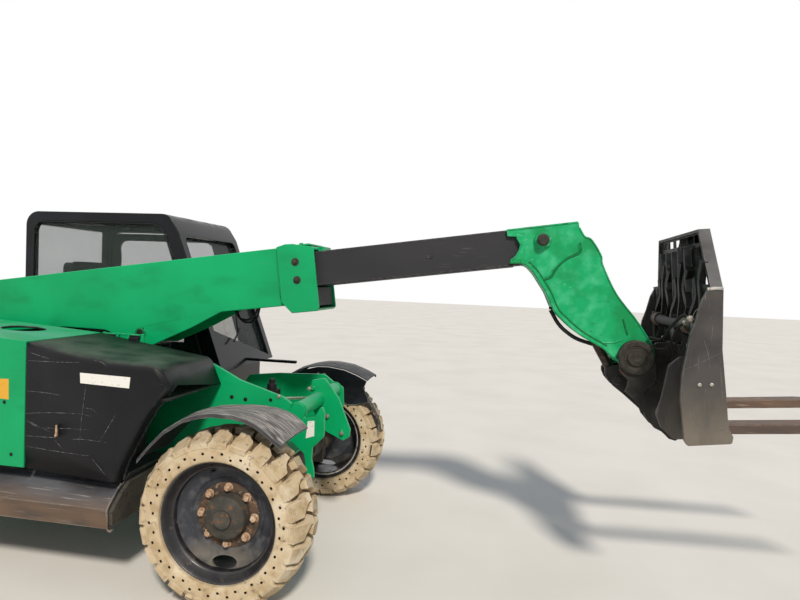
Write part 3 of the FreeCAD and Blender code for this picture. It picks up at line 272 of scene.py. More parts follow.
def worn_steel_paint():
    """Thin black paint worn off rolled plate: grey shows through, with drag marks and a dusty foot."""
    f = Finish("worn_steel_plate", "#353334", 0.5, 0.35)
    f.coat(f.cloud(160, 0.4, 0.62), "#474442", 0.46)
    drags = f.cloud(6, 0.62, 0.68, (1, 1, 0.05), 5, (0, 0.5, 0))
    f.coat(f.both(drags, f.cloud(260, 0.45, 0.6)), "#6C6864", 0.5)
    f.coat(f.both(f.cloud(30, 0.6, 0.7), f.cloud(180, 0.5, 0.6)), "#544337", 0.8)
    f.coat(f.both(f.edges(6), f.cloud(40, 0.35, 0.55)), "#7C7976", 0.4)
    f.coat(f.both(f.axis(f.where, "Z", 1.16, 0.94), f.cloud(150, 0.25, 0.55, (1, 1, 0.3), 6)), "#6F685E", 0.7)
    f.relief(f.cloud(5, 0.2, 0.8, detail=6), 0.06)
    return f.done()


def hitch_paint():
    """Black paint on the hitch weldment, greasy round its pins, rusted in its corners."""
    f = Finish("black_hitch_paint", "#232221", 0.5)
    f.coat(f.cloud(90, 0.42, 0.64), "#34322F", 0.6)
    f.coat(f.both(f.cloud(40, 0.56, 0.68), f.cloud(160, 0.5, 0.6)), "#4A3429", 0.8)
    f.coat(f.both(f.edges(5), f.cloud(40, 0.35, 0.55)), "#6A6762", 0.45)
    f.relief(f.cloud(4, 0.2, 0.8, detail=6), 0.08)
    return f.done()


def oily_rod():
    """Chromed piston rod under a brown film of oil and dust."""
    f = Finish("oily_piston_rod", "#54473F", 0.35, Metallic=0.6)
    f.coat(f.cloud(30, 0.45, 0.65, (0.3, 1, 1)), "#3A302A", 0.5)
    return f.done()


def guard_paint():
    """Black paint on the load guard, rubbed through to grey along its edges, with painted light on its sunward faces.
    """
    f = Finish("black_guard_paint", "#1D1C1F", 0.5)
    f.coat(f.cloud(70, 0.46, 0.66), "#2C2A2A", 0.6)
    # Paler grey on faces turned to -Y, the sun's side: painted light.
    f.coat(f.both(f.axis(f.facing, "Y", -0.6, -0.95), f.cloud(140, 0.32, 0.6)), "#5F5F62", 0.55)
    f.coat(f.both(f.edges(6), f.cloud(40, 0.35, 0.55)), "#7E7B78", 0.45)
    f.relief(f.cloud(5, 0.2, 0.8, detail=6), 0.08)
    return f.done()


def forged_fork():
    """Forged fork steel, its paint gone: brown rust film polished by the ground at the tips."""
    f = Finish("forged_fork_steel", "#6A5648", 0.62)
    f.coat(f.cloud(120, 0.4, 0.65, (0.3, 1, 1)), "#4E4440", 0.5)
    f.coat(f.both(f.cloud(8, 0.6, 0.68, (0.06, 1, 1), 5), f.cloud(300, 0.4, 0.6)), "#A08C7A", 0.45)
    f.coat(f.both(f.edges(8), f.cloud(50, 0.4, 0.6)), "#8F7F72", 0.4)
    f.relief(f.cloud(4, 0.2, 0.8, detail=6), 0.08)
    return f.done()


def sill_plate():
    """Folded step plate under the pod: black paint scuffed blue-grey on top and brown with mud below."""
    f = Finish("scuffed_step_plate", "#2C2B2E", 0.46, 0.4)
    f.coat(f.both(f.axis(f.facing, "Z", 0.3, 0.7), f.cloud(90, 0.3, 0.6, (0.3, 1, 1))), "#55575D", 0.5)
    f.coat(f.both(f.cloud(8, 0.6, 0.67, (0.04, 1, 1), 5), f.cloud(300, 0.4, 0.6)), "#8B8884", 0.5)
    f.coat(f.both(f.axis(f.where, "Z", 0.5, 0.4), f.cloud(110, 0.25, 0.58, (0.3, 1, 1), 6)), "#665344", 0.85)
    f.coat(f.both(f.edges(9), f.cloud(60, 0.35, 0.55, (0.3, 1, 1))), "#8F8A84", 0.4)
    f.relief(f.cloud(6, 0.2, 0.8, detail=6), 0.1)
    return f.done()


def cast_iron():
    """Sand-cast iron hubs and axles: dark, grainy, dusty in the hollows with rust at the rims."""
    f = Finish("sand_cast_iron", "#3C3B38", 0.66)
    f.coat(f.cloud(60, 0.42, 0.66), "#514D45", 0.75)
    f.coat(f.both(f.cloud(24, 0.55, 0.65), f.cloud(120, 0.45, 0.6)), "#74513B", 0.85)
    f.coat(f.both(f.edges(4), f.cloud(20, 0.4, 0.6)), "#7C746A", 0.5)
    f.relief(f.cloud(1.6, 0.2, 0.8, detail=3), 0.12)
    return f.done()


def moulded_polyethylene():
    """Black rotomoulded polyethylene: waxy, dragged grey by branches, greenish dust on top."""
    f = Finish("rotomoulded_polyethylene", "#131317", 0.45, 0.22)
    f.coat(f.cloud(160, 0.4, 0.7, (0.5, 1, 1)), "#1B1B1F", 0.55)
    f.coat(f.both(f.cloud(4, 0.66, 0.7, (0.02, 1, 1), 4), f.cloud(240, 0.48, 0.6)), "#3E3F44", 0.65)
    f.coat(f.both(f.axis(f.facing, "Z", 0.5, 0.9), f.cloud(120, 0.32, 0.64, detail=6)), "#465349", 0.7)
    f.coat(f.both(f.edges(9, 0.005, 0.08), f.cloud(40, 0.46, 0.62)), "#47464A", 0.5)
    f.relief(f.cloud(1.8, 0.2, 0.8, detail=3), 0.05)
    return f.done()


def mudguard_plastic():
    """Pressed polyethylene mudguard, its crown scoured grey with whitish streaks, black beneath."""
    f = Finish("scoured_mudguard", "#1D1E22", 0.6)
    f.coat(f.both(f.axis(f.facing, "Z", 0.05, 0.4), f.cloud(60, 0.15, 0.5, (0.4, 1, 1))), "#6E6C6C", 0.7)
    f.coat(f.both(f.cloud(7, 0.5, 0.62, (0.07, 1, 0.15), 5), f.axis(f.facing, "Z", 0.1, 0.5)), "#A9A5A1", 0.7)
    f.coat(f.both(f.edges(5), f.cloud(20, 0.35, 0.6)), "#85858A", 0.65)
    f.relief(f.cloud(3, 0.2, 0.8, detail=4), 0.08)
    return f.done()


def flap_rubber():
    """Black sheet rubber, its outer edge greyed."""
    f = Finish("mud_flap_rubber", "#11141A", 0.55)
    f.coat(f.cloud(60, 0.45, 0.7), "#22252B", 0.65)
    f.coat(f.both(f.edges(8), f.cloud(30, 0.3, 0.5)), "#8B8D93", 0.6)
    return f.done()


def dusty_rubber():
    """Solid tyre rubber caked in yard dust: tan all over, rubbed darker on the lugs' faces."""
    f = Finish("dusty_tyre_rubber", "#C3B092", 0.9)
    f.coat(f.cloud(45, 0.45, 0.62), "#B09B7A")
    f.coat(f.cloud(120, 0.48, 0.64), "#D3C5AC")
    f.coat(f.both(f.cloud(26, 0.58, 0.68), f.cloud(140, 0.45, 0.62)), "#8A7860")
    f.coat(f.edges(4, 0.02, 0.3), "#D2C3A8")
    f.relief(f.cloud(7, 0.2, 0.8, detail=6), 0.35)
    return f.done()


def painted_hole_shade():
    """Painted shade: near-black rubber down in the moulded holes, darker than the dusty tyre around them."""
    f = Finish("painted_shade_tyre_holes", "#1C1916", 0.85)
    f.coat(f.cloud(12, 0.4, 0.7), "#2B2620")
    return f.done()


def rim_black():
    """Black rim paint, greasy with dust, its lips rubbed bright."""
    f = Finish("black_rim_paint", "#1B1A1E", 0.34, 0.5)
    f.coat(f.cloud(60, 0.45, 0.68), "#2B292C", 0.5)
    f.coat(f.both(f.cloud(14, 0.6, 0.68), f.cloud(120, 0.48, 0.6)), "#5E5248", 0.8)
    f.coat(f.both(f.edges(3), f.cloud(50, 0.25, 0.42)), "#B4B0AA", 0.35)
    f.relief(f.cloud(3, 0.2, 0.8), 0.04)
    return f.done()


def disc_paint():
    """The wheel disc: dusty blue-grey over black paint, paler low in the dish with dust and painted light."""
    f = Finish("dusty_wheel_disc", "#3A3D43", 0.6)
    f.coat(f.cloud(110, 0.42, 0.66), "#2B2D33", 0.5)
    f.coat(f.cloud(50, 0.5, 0.7), "#55565A", 0.75)
    # Paler low in the dish: partly dust, partly painted light on the sunlit lower wall of the dish.
    f.coat(f.both(f.axis(f.where, "Z", 0.3, 0.17), f.cloud(90, 0.3, 0.6)), "#7E776B", 0.85)
    f.coat(f.both(f.edges(3), f.cloud(30, 0.4, 0.6)), "#85817B", 0.5)
    f.relief(f.cloud(3, 0.2, 0.8), 0.05)
    return f.done()


def rusty_nuts():
    """Wheel nuts with a tan film of rust and dust."""
    f = Finish("rusty_wheel_nuts", "#B5967C", 0.78)
    f.coat(f.cloud(12, 0.48, 0.62), "#8C6E56")
    f.coat(f.cloud(20, 0.5, 0.66), "#D0B89E")
    f.relief(f.cloud(2, 0.2, 0.8), 0.1)
    return f.done()


def olive_steel():
    """Greasy pins, bosses and rings: dark steel under a film of old grease, brown at the rims."""
    f = Finish("greasy_pin_steel", "#2A2926", 0.5)
    f.coat(f.cloud(26, 0.42, 0.65), "#3D3A33", 0.6)
    f.coat(f.both(f.edges(5), f.cloud(20, 0.35, 0.6)), "#5E5547", 0.6)
    f.relief(f.cloud(2, 0.2, 0.8), 0.08)
    return f.done()


def rusty_flange():
    """Planet carrier flange: cast iron, red-brown rust smeared over one side."""
    f = Finish("rusty_cast_flange", "#433B35", 0.72)
    f.coat(f.cloud(46, 0.42, 0.62), "#604B3C", 0.8)
    f.coat(f.cloud(22, 0.58, 0.7), "#8A745E", 0.85)
    f.relief(f.cloud(1.6, 0.2, 0.8, detail=3), 0.12)
    return f.done()


def dusty_panel():
    """Sheet steel panel dulled by road dust."""
    f = Finish("dusty_sheet_steel", "#3E3C37", 0.75)
    f.coat(f.cloud(110, 0.4, 0.65), "#4E4B44", 0.8)
    f.coat(f.cloud(20, 0.6, 0.7), "#2E2B28")
    f.relief(f.cloud(3, 0.2, 0.8), 0.06)
    return f.done()


def plain_coat(name, colour, spot, rough):
    """One colour broken by small spots of a second."""
    f = Finish(name, colour, rough)
    f.coat(f.cloud(18, 0.52, 0.66), spot, rough)
    return f.done()


def zinc_bolts():
    """Zinc-plated bolts, dulled."""
    f = Finish("zinc_plated_bolts", "#B4AFA4", 0.42, Metallic=0.85)
    f.coat(f.cloud(10, 0.5, 0.65), "#857C70", 0.6)
    return f.done()


def chrome_rod():
    """Hard chrome on ground steel: a bright mirror with a little oil film."""
    f = Finish("hard_chrome", "#C9CBD0", 0.12, Metallic=1.0)
    f.coat(f.cloud(80, 0.5, 0.7, (0.2, 1, 1)), "#A9A69F", 0.24)
    return f.done()


def cab_gloss():
    """Powder-coated cab frame: deep black, still glossy under light dust."""
    f = Finish("gloss_cab_powder_coat", "#0B0C11", 0.2, 0.25)
    f.coat(f.cloud(200, 0.45, 0.7), "#17191F", 0.32)
    f.coat(f.both(f.axis(f.facing, "Z", 0.6, 0.95), f.cloud(90, 0.35, 0.6)), "#3A3B3E", 0.6)
    f.coat(f.both(f.edges(4), f.cloud(50, 0.5, 0.65)), "#36373C", 0.4)
    f.relief(f.cloud(2.5, 0.2, 0.8), 0.02)
    return f.done()


def tinted_glass():
    """Float glass with a grey-green tint, its surfaces lightly dusted."""
    f = Finish("tinted_float_glass", "#36433E", 0.04, 0.5, Alpha=0.24)
    f.coat(f.cloud(260, 0.55, 0.8), "#59635E", 0.1)
    return f.done()


def seat_vinyl():
    """Grained black vinyl over foam, greyed where the driver sits."""
    f = Finish("grained_seat_vinyl", "#131315", 0.55)
    f.coat(f.cloud(120, 0.45, 0.7), "#1F1F21", 0.65)
    f.relief(f.cloud(1.2, 0.3, 0.7, detail=2), 0.06)
    return f.done()


def hose_rubber():
    """Braided hydraulic hose with a smooth black rubber jacket, dusty on top."""
    f = Finish("black_hose_rubber", "#131315", 0.6)
    f.coat(f.cloud(20, 0.5, 0.7), "#262422", 0.75)
    f.relief(f.cloud(2, 0.2, 0.8), 0.05)
    return f.done()


def sticker(name, colour, worn):
    """A blank vinyl sticker, scuffed."""
    f = Finish(name, colour, 0.45)
    f.coat(f.cloud(18, 0.6, 0.68), worn, 0.6)
    return f.done()


def scratch_grey():
    """Plastic torn white-grey along a drag mark."""
    f = Finish("dragged_plastic", "#75767A", 0.8)
    f.coat(f.cloud(14, 0.4, 0.56), "#3C3D42")
    return f.done()


def lens(name, colour):
    """A moulded acrylic lamp lens."""
    f = Finish(name, colour, 0.2, Transmission_Weight=0.25)
    f.relief(f.cloud(6, 0.4, 0.6, (1, 0.01, 1)), 0.4)
    return f.done()


def pale_floor():
    """Plain pale concrete screed."""
    f = Finish("pale_floor", "#E4E2DE", 0.9)
    f.coat(f.cloud(900, 0.4, 0.7), "#DDDBD6")
    return f.done()


GREEN = baked_enamel()
CHALKED = chalked_enamel()
CHARCOAL = charcoal_paint()
WORN_STEEL = worn_steel_paint()
FORK_STEEL = forged_fork()
GUARD = guard_paint()
HITCH = hitch_paint()
OILY_ROD = oily_rod()
SILL = sill_plate()
CAST = cast_iron()
POD_PLASTIC = moulded_polyethylene()
MUDGUARD = mudguard_plastic()
FLAP = flap_rubber()
RUBBER = dusty_rubber()
# Painted shade for the walls and floors of the tyre's moulded holes
HOLE_SHADE = painted_hole_shade()
# Tread floor between the lugs: dusty rubber darkened as painted shade
TREAD_FLOOR_SHADE = plain_coat("dusty_tread_floor_painted_shade", "#6E5B45", "#4C3D2E", 0.95)
RIM_BLACK = rim_black()
DISC = disc_paint()
NUTS = rusty_nuts()
OLIVE_STEEL = olive_steel()
RUSTY_FLANGE = rusty_flange()
DUSTY_PANEL = dusty_panel()
BLACK_STEEL = plain_coat("black_strap_steel", "#151517", "#2A2928", 0.6)
RUBBED_STEEL = plain_coat("rubbed_plate_marks", "#6E6A66", "#4F4C4A", 0.55)
BRIGHT_WELD = plain_coat("bare_weld_metal", "#C6C4C0", "#8F8C88", 0.45)
# Darker green: the lift pins' rings, and painted crease shade along the head's folds and under its flange
DARK_GREEN_AND_CREASE_SHADE = plain_coat("dark_green_and_painted_crease_shade", "#0A6A3C", "#0D8049", 0.6)
ZINC = zinc_bolts()
CHROME = chrome_rod()
CAB_GLOSS = cab_gloss()
GLASS = tinted_glass()
VINYL = seat_vinyl()
HOSE = hose_rubber()
WHITE_STICKER = sticker("blank_white_sticker", "#E6E5E0", "#B9B6AE")
AMBER_STICKER = sticker("blank_amber_sticker", "#DDA63C", "#B98A35")
SCRATCH = scratch_grey()
RED_LENS = lens("red_lamp_lens", "#A3141A")
AMBER_LENS = lens("amber_lamp_lens", "#D9801C")


# Meshes, made in the millimetres of one frame

def rounded(outline, steps=5):
    """The corners of a closed outline, those given as (a, b, radius) drawn as arcs."""
    points = []
    for i, corner in enumerate(outline):
        here = Vector(corner[:2])
        if len(corner) < 3:
            points.append(here)
            continue
        back = (Vector(outline[i - 1][:2]) - here).normalized()
        ahead = (Vector(outline[(i + 1) % len(outline)][:2]) - here).normalized()
        half = back.angle(ahead) / 2
        centre = here + (back + ahead).normalized() * (corner[2] / math.sin(half))
        start = here + back * (corner[2] / math.tan(half)) - centre
        end = here + ahead * (corner[2] / math.tan(half)) - centre
        points += [centre + start.slerp(end, step / steps) for step in range(steps + 1)]
    return points


def smooth_line(points, steps=8):
    """A curve through every point."""
    points = [Vector(point) for point in points]
    ends = [points[0] * 2 - points[1]] + points + [points[-1] * 2 - points[-2]]
    line = []
    for before, near, far, after in zip(ends, ends[1:], ends[2:], ends[3:]):
        for step in range(steps):
            t = step / steps
            bend = 2 * before - 5 * near + 4 * far - after
            sway = 3 * near - before - 3 * far + after
            line.append(0.5 * (2 * near + (far - before) * t + bend * t ** 2 + sway * t ** 3))
    return line + [points[-1]]


class Shape:
    """A mesh made up of closed forms in one frame's millimetres, finished as one piece."""

    def __init__(self, place):
        self.place = place
        self.mesh = bmesh.new()

    def skin(self, rings, caps=True, wrap=False):
        """Faces between neighbouring rings of points, with the end rings closed or joined to each other."""
        made = [[self.mesh.verts.new(self.place @ Vector(point)) for point in ring] for ring in rings]
        count = len(made[0])
        pairs = list(zip(made, made[1:])) + ([(made[-1], made[0])] if wrap else [])
        for near, far in pairs:
            for i in range(count):
                j = (i + 1) % count
                self.mesh.faces.new((near[i], near[j], far[j], far[i]))
        if caps and not wrap:
            self.mesh.faces.new(made[0])
            self.mesh.faces.new(made[-1])

    def block(self, x, y, z):
        corners = ((0, 0), (1, 0), (1, 1), (0, 1))
        self.skin([[(x[i], level, z[j]) for i, j in corners] for level in y])

    def plate(self, outline, low, high, plane="XZ"):
        """An outline given thickness. XZ outlines run along Y, YZ ones along X, XY ones along Z."""
        spot = {"XZ": (0, 2, 1), "YZ": (1, 2, 0), "XY": (0, 1, 2)}[plane]
        rings = []
        for level in (low, high):
            ring = []
            for a, b in rounded(outline):
                point = [0, 0, 0]
                for slot, value in zip(spot, (a, b, level)):
                    point[slot] = value
                ring.append(point)
            rings.append(ring)
        self.skin(rings)

    def turned(self, profile, centre, axis, sides=48, wrap=False, phase=0.0):
        """A profile of (radius, distance along) turned about an axis."""
        along = Vector(axis).normalized()
        over = along.cross(Vector((0, 1, 0)) if abs(along.y) < 0.9 else Vector((0, 0, 1))).normalized()
        under = along.cross(over)
        centre = Vector(centre)
        turns = [phase + 2 * math.pi * i / sides for i in range(sides)]
        ways = [over * math.cos(t) + under * math.sin(t) for t in turns]
        self.skin([[centre + along * reach + way * radius for way in ways]
                   for radius, reach in profile], wrap=wrap)

    def rod(self, start, end, radius, sides=20, rim=0.0):
        axis = Vector(end) - Vector(start)
        profile = [(radius, 0), (radius, axis.length)]
        if rim:
            small = radius - rim
            profile = [(small, 0), (radius, rim), (radius, axis.length - rim), (small, axis.length)]
        self.turned(profile, start, axis, sides)

    def ring(self, centre, axis, radius, wire, sides=40, steps=8):
        profile = [(radius + wire * math.cos(t), wire * math.sin(t))
                   for t in (2 * math.pi * i / steps for i in range(steps))]
        self.turned(profile, centre, axis, sides, wrap=True)

    def tube(self, points, radius, sides=10, steps=8, ripple=0.0):
        """A round cord through the points; ripple swells it in turns, as a weld bead does."""
        line = smooth_line(points, steps)
        normal = (line[1] - line[0]).orthogonal().normalized()
        rings = []
        for i, point in enumerate(line):
            along = (line[min(i + 1, len(line) - 1)] - line[max(i - 1, 0)]).normalized()
            normal = (normal - along * normal.dot(along)).normalized()
            side = along.cross(normal)
            size = radius * (1 + ripple * (i % 2))
            rings.append([point + (normal * math.cos(t) + side * math.sin(t)) * size
                          for t in (2 * math.pi * k / sides for k in range(sides))])
        self.skin(rings)

    def bolt(self, place, axis, across=24, washer=True):
        """A hexagon head on its washer."""
        flat = across / 2
        if washer:
            self.turned([(flat * 1.5, -1), (flat * 1.5, 2.5)], place, axis, 24)
        head = [(flat * 1.15, 0), (flat * 1.15, across * 0.55), (flat * 0.95, across * 0.65)]
        self.turned(head, place, axis, 6, phase=chance.uniform(0, 1))

    def finish(self, name, body, material, bevel=1.0, steps=2, angle=35):
        bmesh.ops.recalc_face_normals(self.mesh, faces=self.mesh.faces[:])
        data = bpy.data.meshes.new(name)
        self.mesh.to_mesh(data)
        self.mesh.free()
        data.materials.append(material)
        item = bpy.data.objects.new(name, data)
        scene.collection.objects.link(item)
        polish(item, bevel, steps, angle)
        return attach(item, body)


def polish(item, bevel, steps=2, angle=35):
    """Smooth faces, with each sharp edge rounded by bevel mm."""
    for face in item.data.polygons:
        face.use_smooth = True
    if not bevel:
        item.data.set_sharp_from_angle(angle=math.radians(angle))
        return
    edge = item.modifiers.new("rounded edges", "BEVEL")
    edge.width = bevel * MM
    edge.segments = steps
    edge.limit_method = "ANGLE"
    edge.angle_limit = math.radians(angle)
    edge.harden_normals = True
    edge.use_clamp_overlap = False


def dress(name, material, bevel=2.0):
    """A construction node kept as it is, with its finish and rounded edges."""
    item = nodes[name]
    item.data.materials.clear()
    item.data.materials.append(material)
    if not bevel:
        return
    if "custom_normal" in item.data.attributes:
        item.data.attributes.remove(item.data.attributes["custom_normal"])
    weld = item.modifiers.new("one skin", "WELD")
    weld.merge_threshold = 0.05 * MM
    flat = item.modifiers.new("whole faces", "DECIMATE")
    flat.decimate_type = "DISSOLVE"
    flat.angle_limit = math.radians(0.6)
    polish(item, bevel)


# Tyres and rims

LUGS = 24
LUG_TOP = 419
HOLE_PAIRS = 22
SIDEWALL_LOW, SIDEWALL_HIGH = 296, 342
SIDEWALL_OUT = 147
PIT_DEPTH = 11
TREAD_FLOOR = 380
LUG_PLAN = ((-49, 147), (41, 147), (42, 112), (38, 86), (47, 46), (43, 4), (4, -5), (-4, 34), (-20, 70),
            (-49, 92))


def crown(y):
    """Radius of the worn lugs' tops, which fall away towards both shoulders."""
    return 418.5 - 12 * (abs(y) / 110) ** 2.6 - (14 if abs(y) > 140 else 0)


def on_wheel(s, y, r):
    """A point from its run along the tread at the lugs' tops, its width and its radius."""
    turn = s / LUG_TOP
    return (r * math.sin(turn), y, r * math.cos(turn))


def pierced_sector(shape, pits, side):
    """The sidewall ring with its two staggered rows of moulded holes."""
    middle = (SIDEWALL_LOW + SIDEWALL_HIGH) / 2
    width = 2 * math.pi * middle / HOLE_PAIRS
    steps = 4
    rim = [Vector((width * i / steps, SIDEWALL_LOW)) for i in range(steps + 1)]
    rim += [Vector((width * (steps - i) / steps, SIDEWALL_HIGH)) for i in range(steps + 1)]
    holes = [(Vector((width * 0.25, 309)), 6), (Vector((width * 0.75, 327)), 6)]
    points = list(rim)
    edges = [(i, (i + 1) % len(rim)) for i in range(len(rim))]
    rings = []
    for centre, radius in holes:
        first = len(points)
        ring = [centre + Vector((math.cos(t) * radius * 1.55, math.sin(t) * radius))
                for t in (2 * math.pi * k / 8 for k in range(8))]
        rings.append(ring)
        points += ring
        edges += [(first + k, first + (k + 1) % 8) for k in range(8)]
    flat, _, faces, *_ = delaunay_2d_cdt(points, edges, [], 1, 1e-4)
    for turn in range(HOLE_PAIRS):
        start = 2 * math.pi * turn / HOLE_PAIRS

        def lift(point, depth=0.0):
            angle = start + point.x / middle
            return (point.y * math.sin(angle), side * (SIDEWALL_OUT - depth), point.y * math.cos(angle))

        made = [shape.mesh.verts.new(shape.place @ Vector(lift(point))) for point in flat]
        for face in faces:
            centre = sum((flat[i] for i in face), Vector((0, 0))) / len(face)
            if all((centre - hole).length > radius * 1.02 for hole, radius in holes):
                shape.mesh.faces.new([made[i] for i in face])
        for ring in rings:
            deep = [lift(point, PIT_DEPTH) for point in ring]
            pits.skin([[lift(point) for point in ring], deep], caps=False)
            pits.mesh.faces.new([pits.mesh.verts.new(pits.place @ Vector(point)) for point in deep])


def tyre(name):
    place = wheel_frame(name)
    body = "wheel_" + name
    shape = Shape(place)
    pits = Shape(place)
    grooves = Shape(place)
    flanks = [(284, 120), (285, 138), (291, 145), (SIDEWALL_LOW, 147)], [
        (SIDEWALL_HIGH, 147), (356, 143), (366, 136), (374, 120)]
    turns = [2 * math.pi * k / 88 for k in range(88)]
    for side in (1, -1):
        for profile in flanks:
            shape.skin([[(r * math.sin(t), side * y, r * math.cos(t)) for t in turns]
                        for r, y in profile], caps=False)
        pierced_sector(shape, pits, side)
    bmesh.ops.remove_doubles(shape.mesh, verts=shape.mesh.verts[:], dist=0.00015)
    pitch = 2 * math.pi * LUG_TOP / LUGS
    for side, phase in ((1, 0), (-1, 0.5)):
        for i in range(LUGS):
            start = (i + phase) * pitch
            worn = [(chance.uniform(-3, 3), chance.uniform(-3, 2)) for _ in LUG_PLAN]
            drop = chance.uniform(0, 3)
            rings = []
            for foot, narrow in ((1, -3), (0.35, 0), (0, 5)):
                ring = []
                for (s, y), (ds, dy) in zip(LUG_PLAN, worn):
                    y_worn = y + (dy if y < 140 else 0)
                    top = crown(y_worn) - drop
                    s_worn = s + ds + (narrow if s < 0 else -narrow)
                    ring.append(on_wheel(start + s_worn, side * y_worn, top + (TREAD_FLOOR - 6 - top) * foot))
                rings.append(ring)
            shape.skin(rings)
            flare = ((crown(147) - 3 - drop, 148.5, 4), (374, 149.6, 0), (350, 148.4, -4))
            shape.skin([[on_wheel(start + s, side * y, r) for s, y in (
                (-49 + taper, 128), (-49 + taper, out), (41 - taper, out), (41 - taper, 128))]
                for r, out, taper in flare])
    # The tread floor between the lugs, its dusty colour darkened as painted shade.
    grooves.skin([[(r * math.sin(t), y, r * math.cos(t)) for t in turns] for r, y in (
        (374, -120), (379, -100), (383, -60), (384, 0), (383, 60), (379, 100), (374, 120))], caps=False)
    grooves.finish("tread_grooves_" + name, body, TREAD_FLOOR_SHADE, 0)
    item = shape.finish("dressed_tyre_" + name, body, RUBBER, 3.5, 2, 32)
    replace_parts(item, "tyre_" + name)
    # The holes' walls and floors are coloured with painted shade.
    pits.finish("tyre_pits_" + name, body, HOLE_SHADE, 0)


def rim(name):
    place = wheel_frame(name)
    body = "wheel_" + name
    shape = Shape(place)
    shape.turned([
        (238, 60), (241, 72), (245, 80), (250, 82), (254, 87), (268, 108), (274, 119), (279, 124), (284, 124),
        (285, 117), (276, 112), (260, 84), (254, 56), (254, -114), (284, -117), (284, -123), (280, -125),
        (262, -116), (246, -108), (244, 30), (240, 50)], (0, 0, 0), (0, 1, 0), 96, wrap=True)
    item = shape.finish("rim_band_" + name, body, RIM_BLACK, 1.0)
    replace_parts(item, "rim_" + name)
    disc = Shape(place)
    disc.turned([
        (60, 10), (172, 10), (178, 13), (182, 19), (186, 22), (196, 25), (212, 33), (226, 45), (236, 57),
        (243, 66), (249, 66), (246, 54), (232, 34), (214, 18), (196, 11), (184, 4), (174, -4), (60, -4)],
        (0, 0, 0), (0, 1, 0), 96, wrap=True)
    plate = disc.finish("wheel_disc_" + name, body, DISC, 0)
    hole = Shape(place)
    hole.turned([(25, -20), (25, 90)], (0, 0, -216), (0, 1, 0), 32)
    for vertex in hole.mesh.verts:
        local = place.inverted() @ vertex.co
        local.x *= 2.5
        vertex.co = place @ local
    tool = hole.finish("hand_hole_" + name, body, DISC, 0)
    bite = plate.modifiers.new("hand hole", "BOOLEAN")
    bite.object = tool
    bite.solver = "EXACT"
    graph = bpy.context.evaluated_depsgraph_get()
    cut = bpy.data.meshes.new_from_object(plate.evaluated_get(graph))
    plate.modifiers.clear()
    plate.data = cut
    bpy.data.objects.remove(tool)
    polish(plate, 1.0)
    hub = Shape(place)
    hub.turned([(108, 8), (108, 18), (104, 24), (104, 56), (100, 63), (92, 67), (44, 69), (40, 72), (0.5, 72)],
               (0, 0, 0), (0, 1, 0), 64)
    hub.finish("hub_cap_" + name, body, CAST, 1.0)
    carrier = Shape(place)
    carrier.turned([(100, 8), (156, 8), (156, 14), (150, 17), (112, 17)], (0, 0, 0), (0, 1, 0), 64, wrap=True)
    carrier.finish("hub_flange_" + name, body, RUSTY_FLANGE, 1.0)
    nuts = Shape(place)
    for i in range(8):
        turn = math.pi / 4 * i
        at = (133 * math.cos(turn), 16, 133 * math.sin(turn))
        nuts.turned([(21, 0), (21, 4), (17, 6)], at, (0, 1, 0), 24)
        nuts.turned([(17, 4), (17, 20), (14.5, 24)], at, (0, 1, 0), 6, phase=chance.uniform(0, 1))
        nuts.rod(at, (at[0], 38, at[2]), 9.5, 16, 2)
    nuts.finish("wheel_nuts_" + name, body, NUTS, 0.8)
    valve = Shape(place)
    valve.rod((60, 44, 214), (62, 74, 219), 4.5, 12)
    valve.rod((62, 74, 219), (62, 86, 221), 6.5, 12)
    valve.finish("valve_" + name, body, HOSE, 0.6)


# Engine cover, moulded in soft folds

COVER_REAR = -1005
COVER_DEPTH = 92
COVER = {
    "rear_in": (COVER_REAR, -366, 1193), "rear_out": (COVER_REAR, -900, 1190),
    "rear_fold": (COVER_REAR, -900, 686), "rear_foot": (COVER_REAR, -886, 576),
    "ridge1_in": (-800, -366, 1161), "ridge1_out": (-800, -900, 1157),
    "ridge2_in": (-570, -366, 1129), "ridge2_out": (-570, -900, 1126),
    "brow_in": (-330, -366, 1094), "brow_out": (-322, -900, 1119),
    "nose_in": (-268, -366, 953), "nose_out": (-252, -900, 1028),
    "fold1": (-636, -900, 674), "fold3": (-521, -900, 878),
    "foot1": (-650, -885, 556),
}
COVER_FRONT = ((-527, -882, 546), (-507, -884, 613), (-467, -887, 692), (-408, -891, 801), (-350, -894, 900),
               COVER["nose_out"])
COVER_FACES = (
    ("rear_in", "rear_out", "ridge1_out", "ridge1_in"),
    ("ridge1_in", "ridge1_out", "ridge2_out", "ridge2_in"),
    ("ridge2_in", "ridge2_out", "brow_out", "brow_in"),
    ("brow_in", "brow_out", "nose_out", "nose_in"),
    ("rear_out", "rear_fold", "fold1", "fold3", "nose_out", "brow_out", "ridge2_out", "ridge1_out"),
    ("rear_fold", "rear_foot", "foot1", "fold1"), ("fold1", "foot1", "front0"),
    ("fold1", "front0", "front1", "front2", "front3", "fold3"), ("fold3", "front3", "front4", "nose_out"),
)


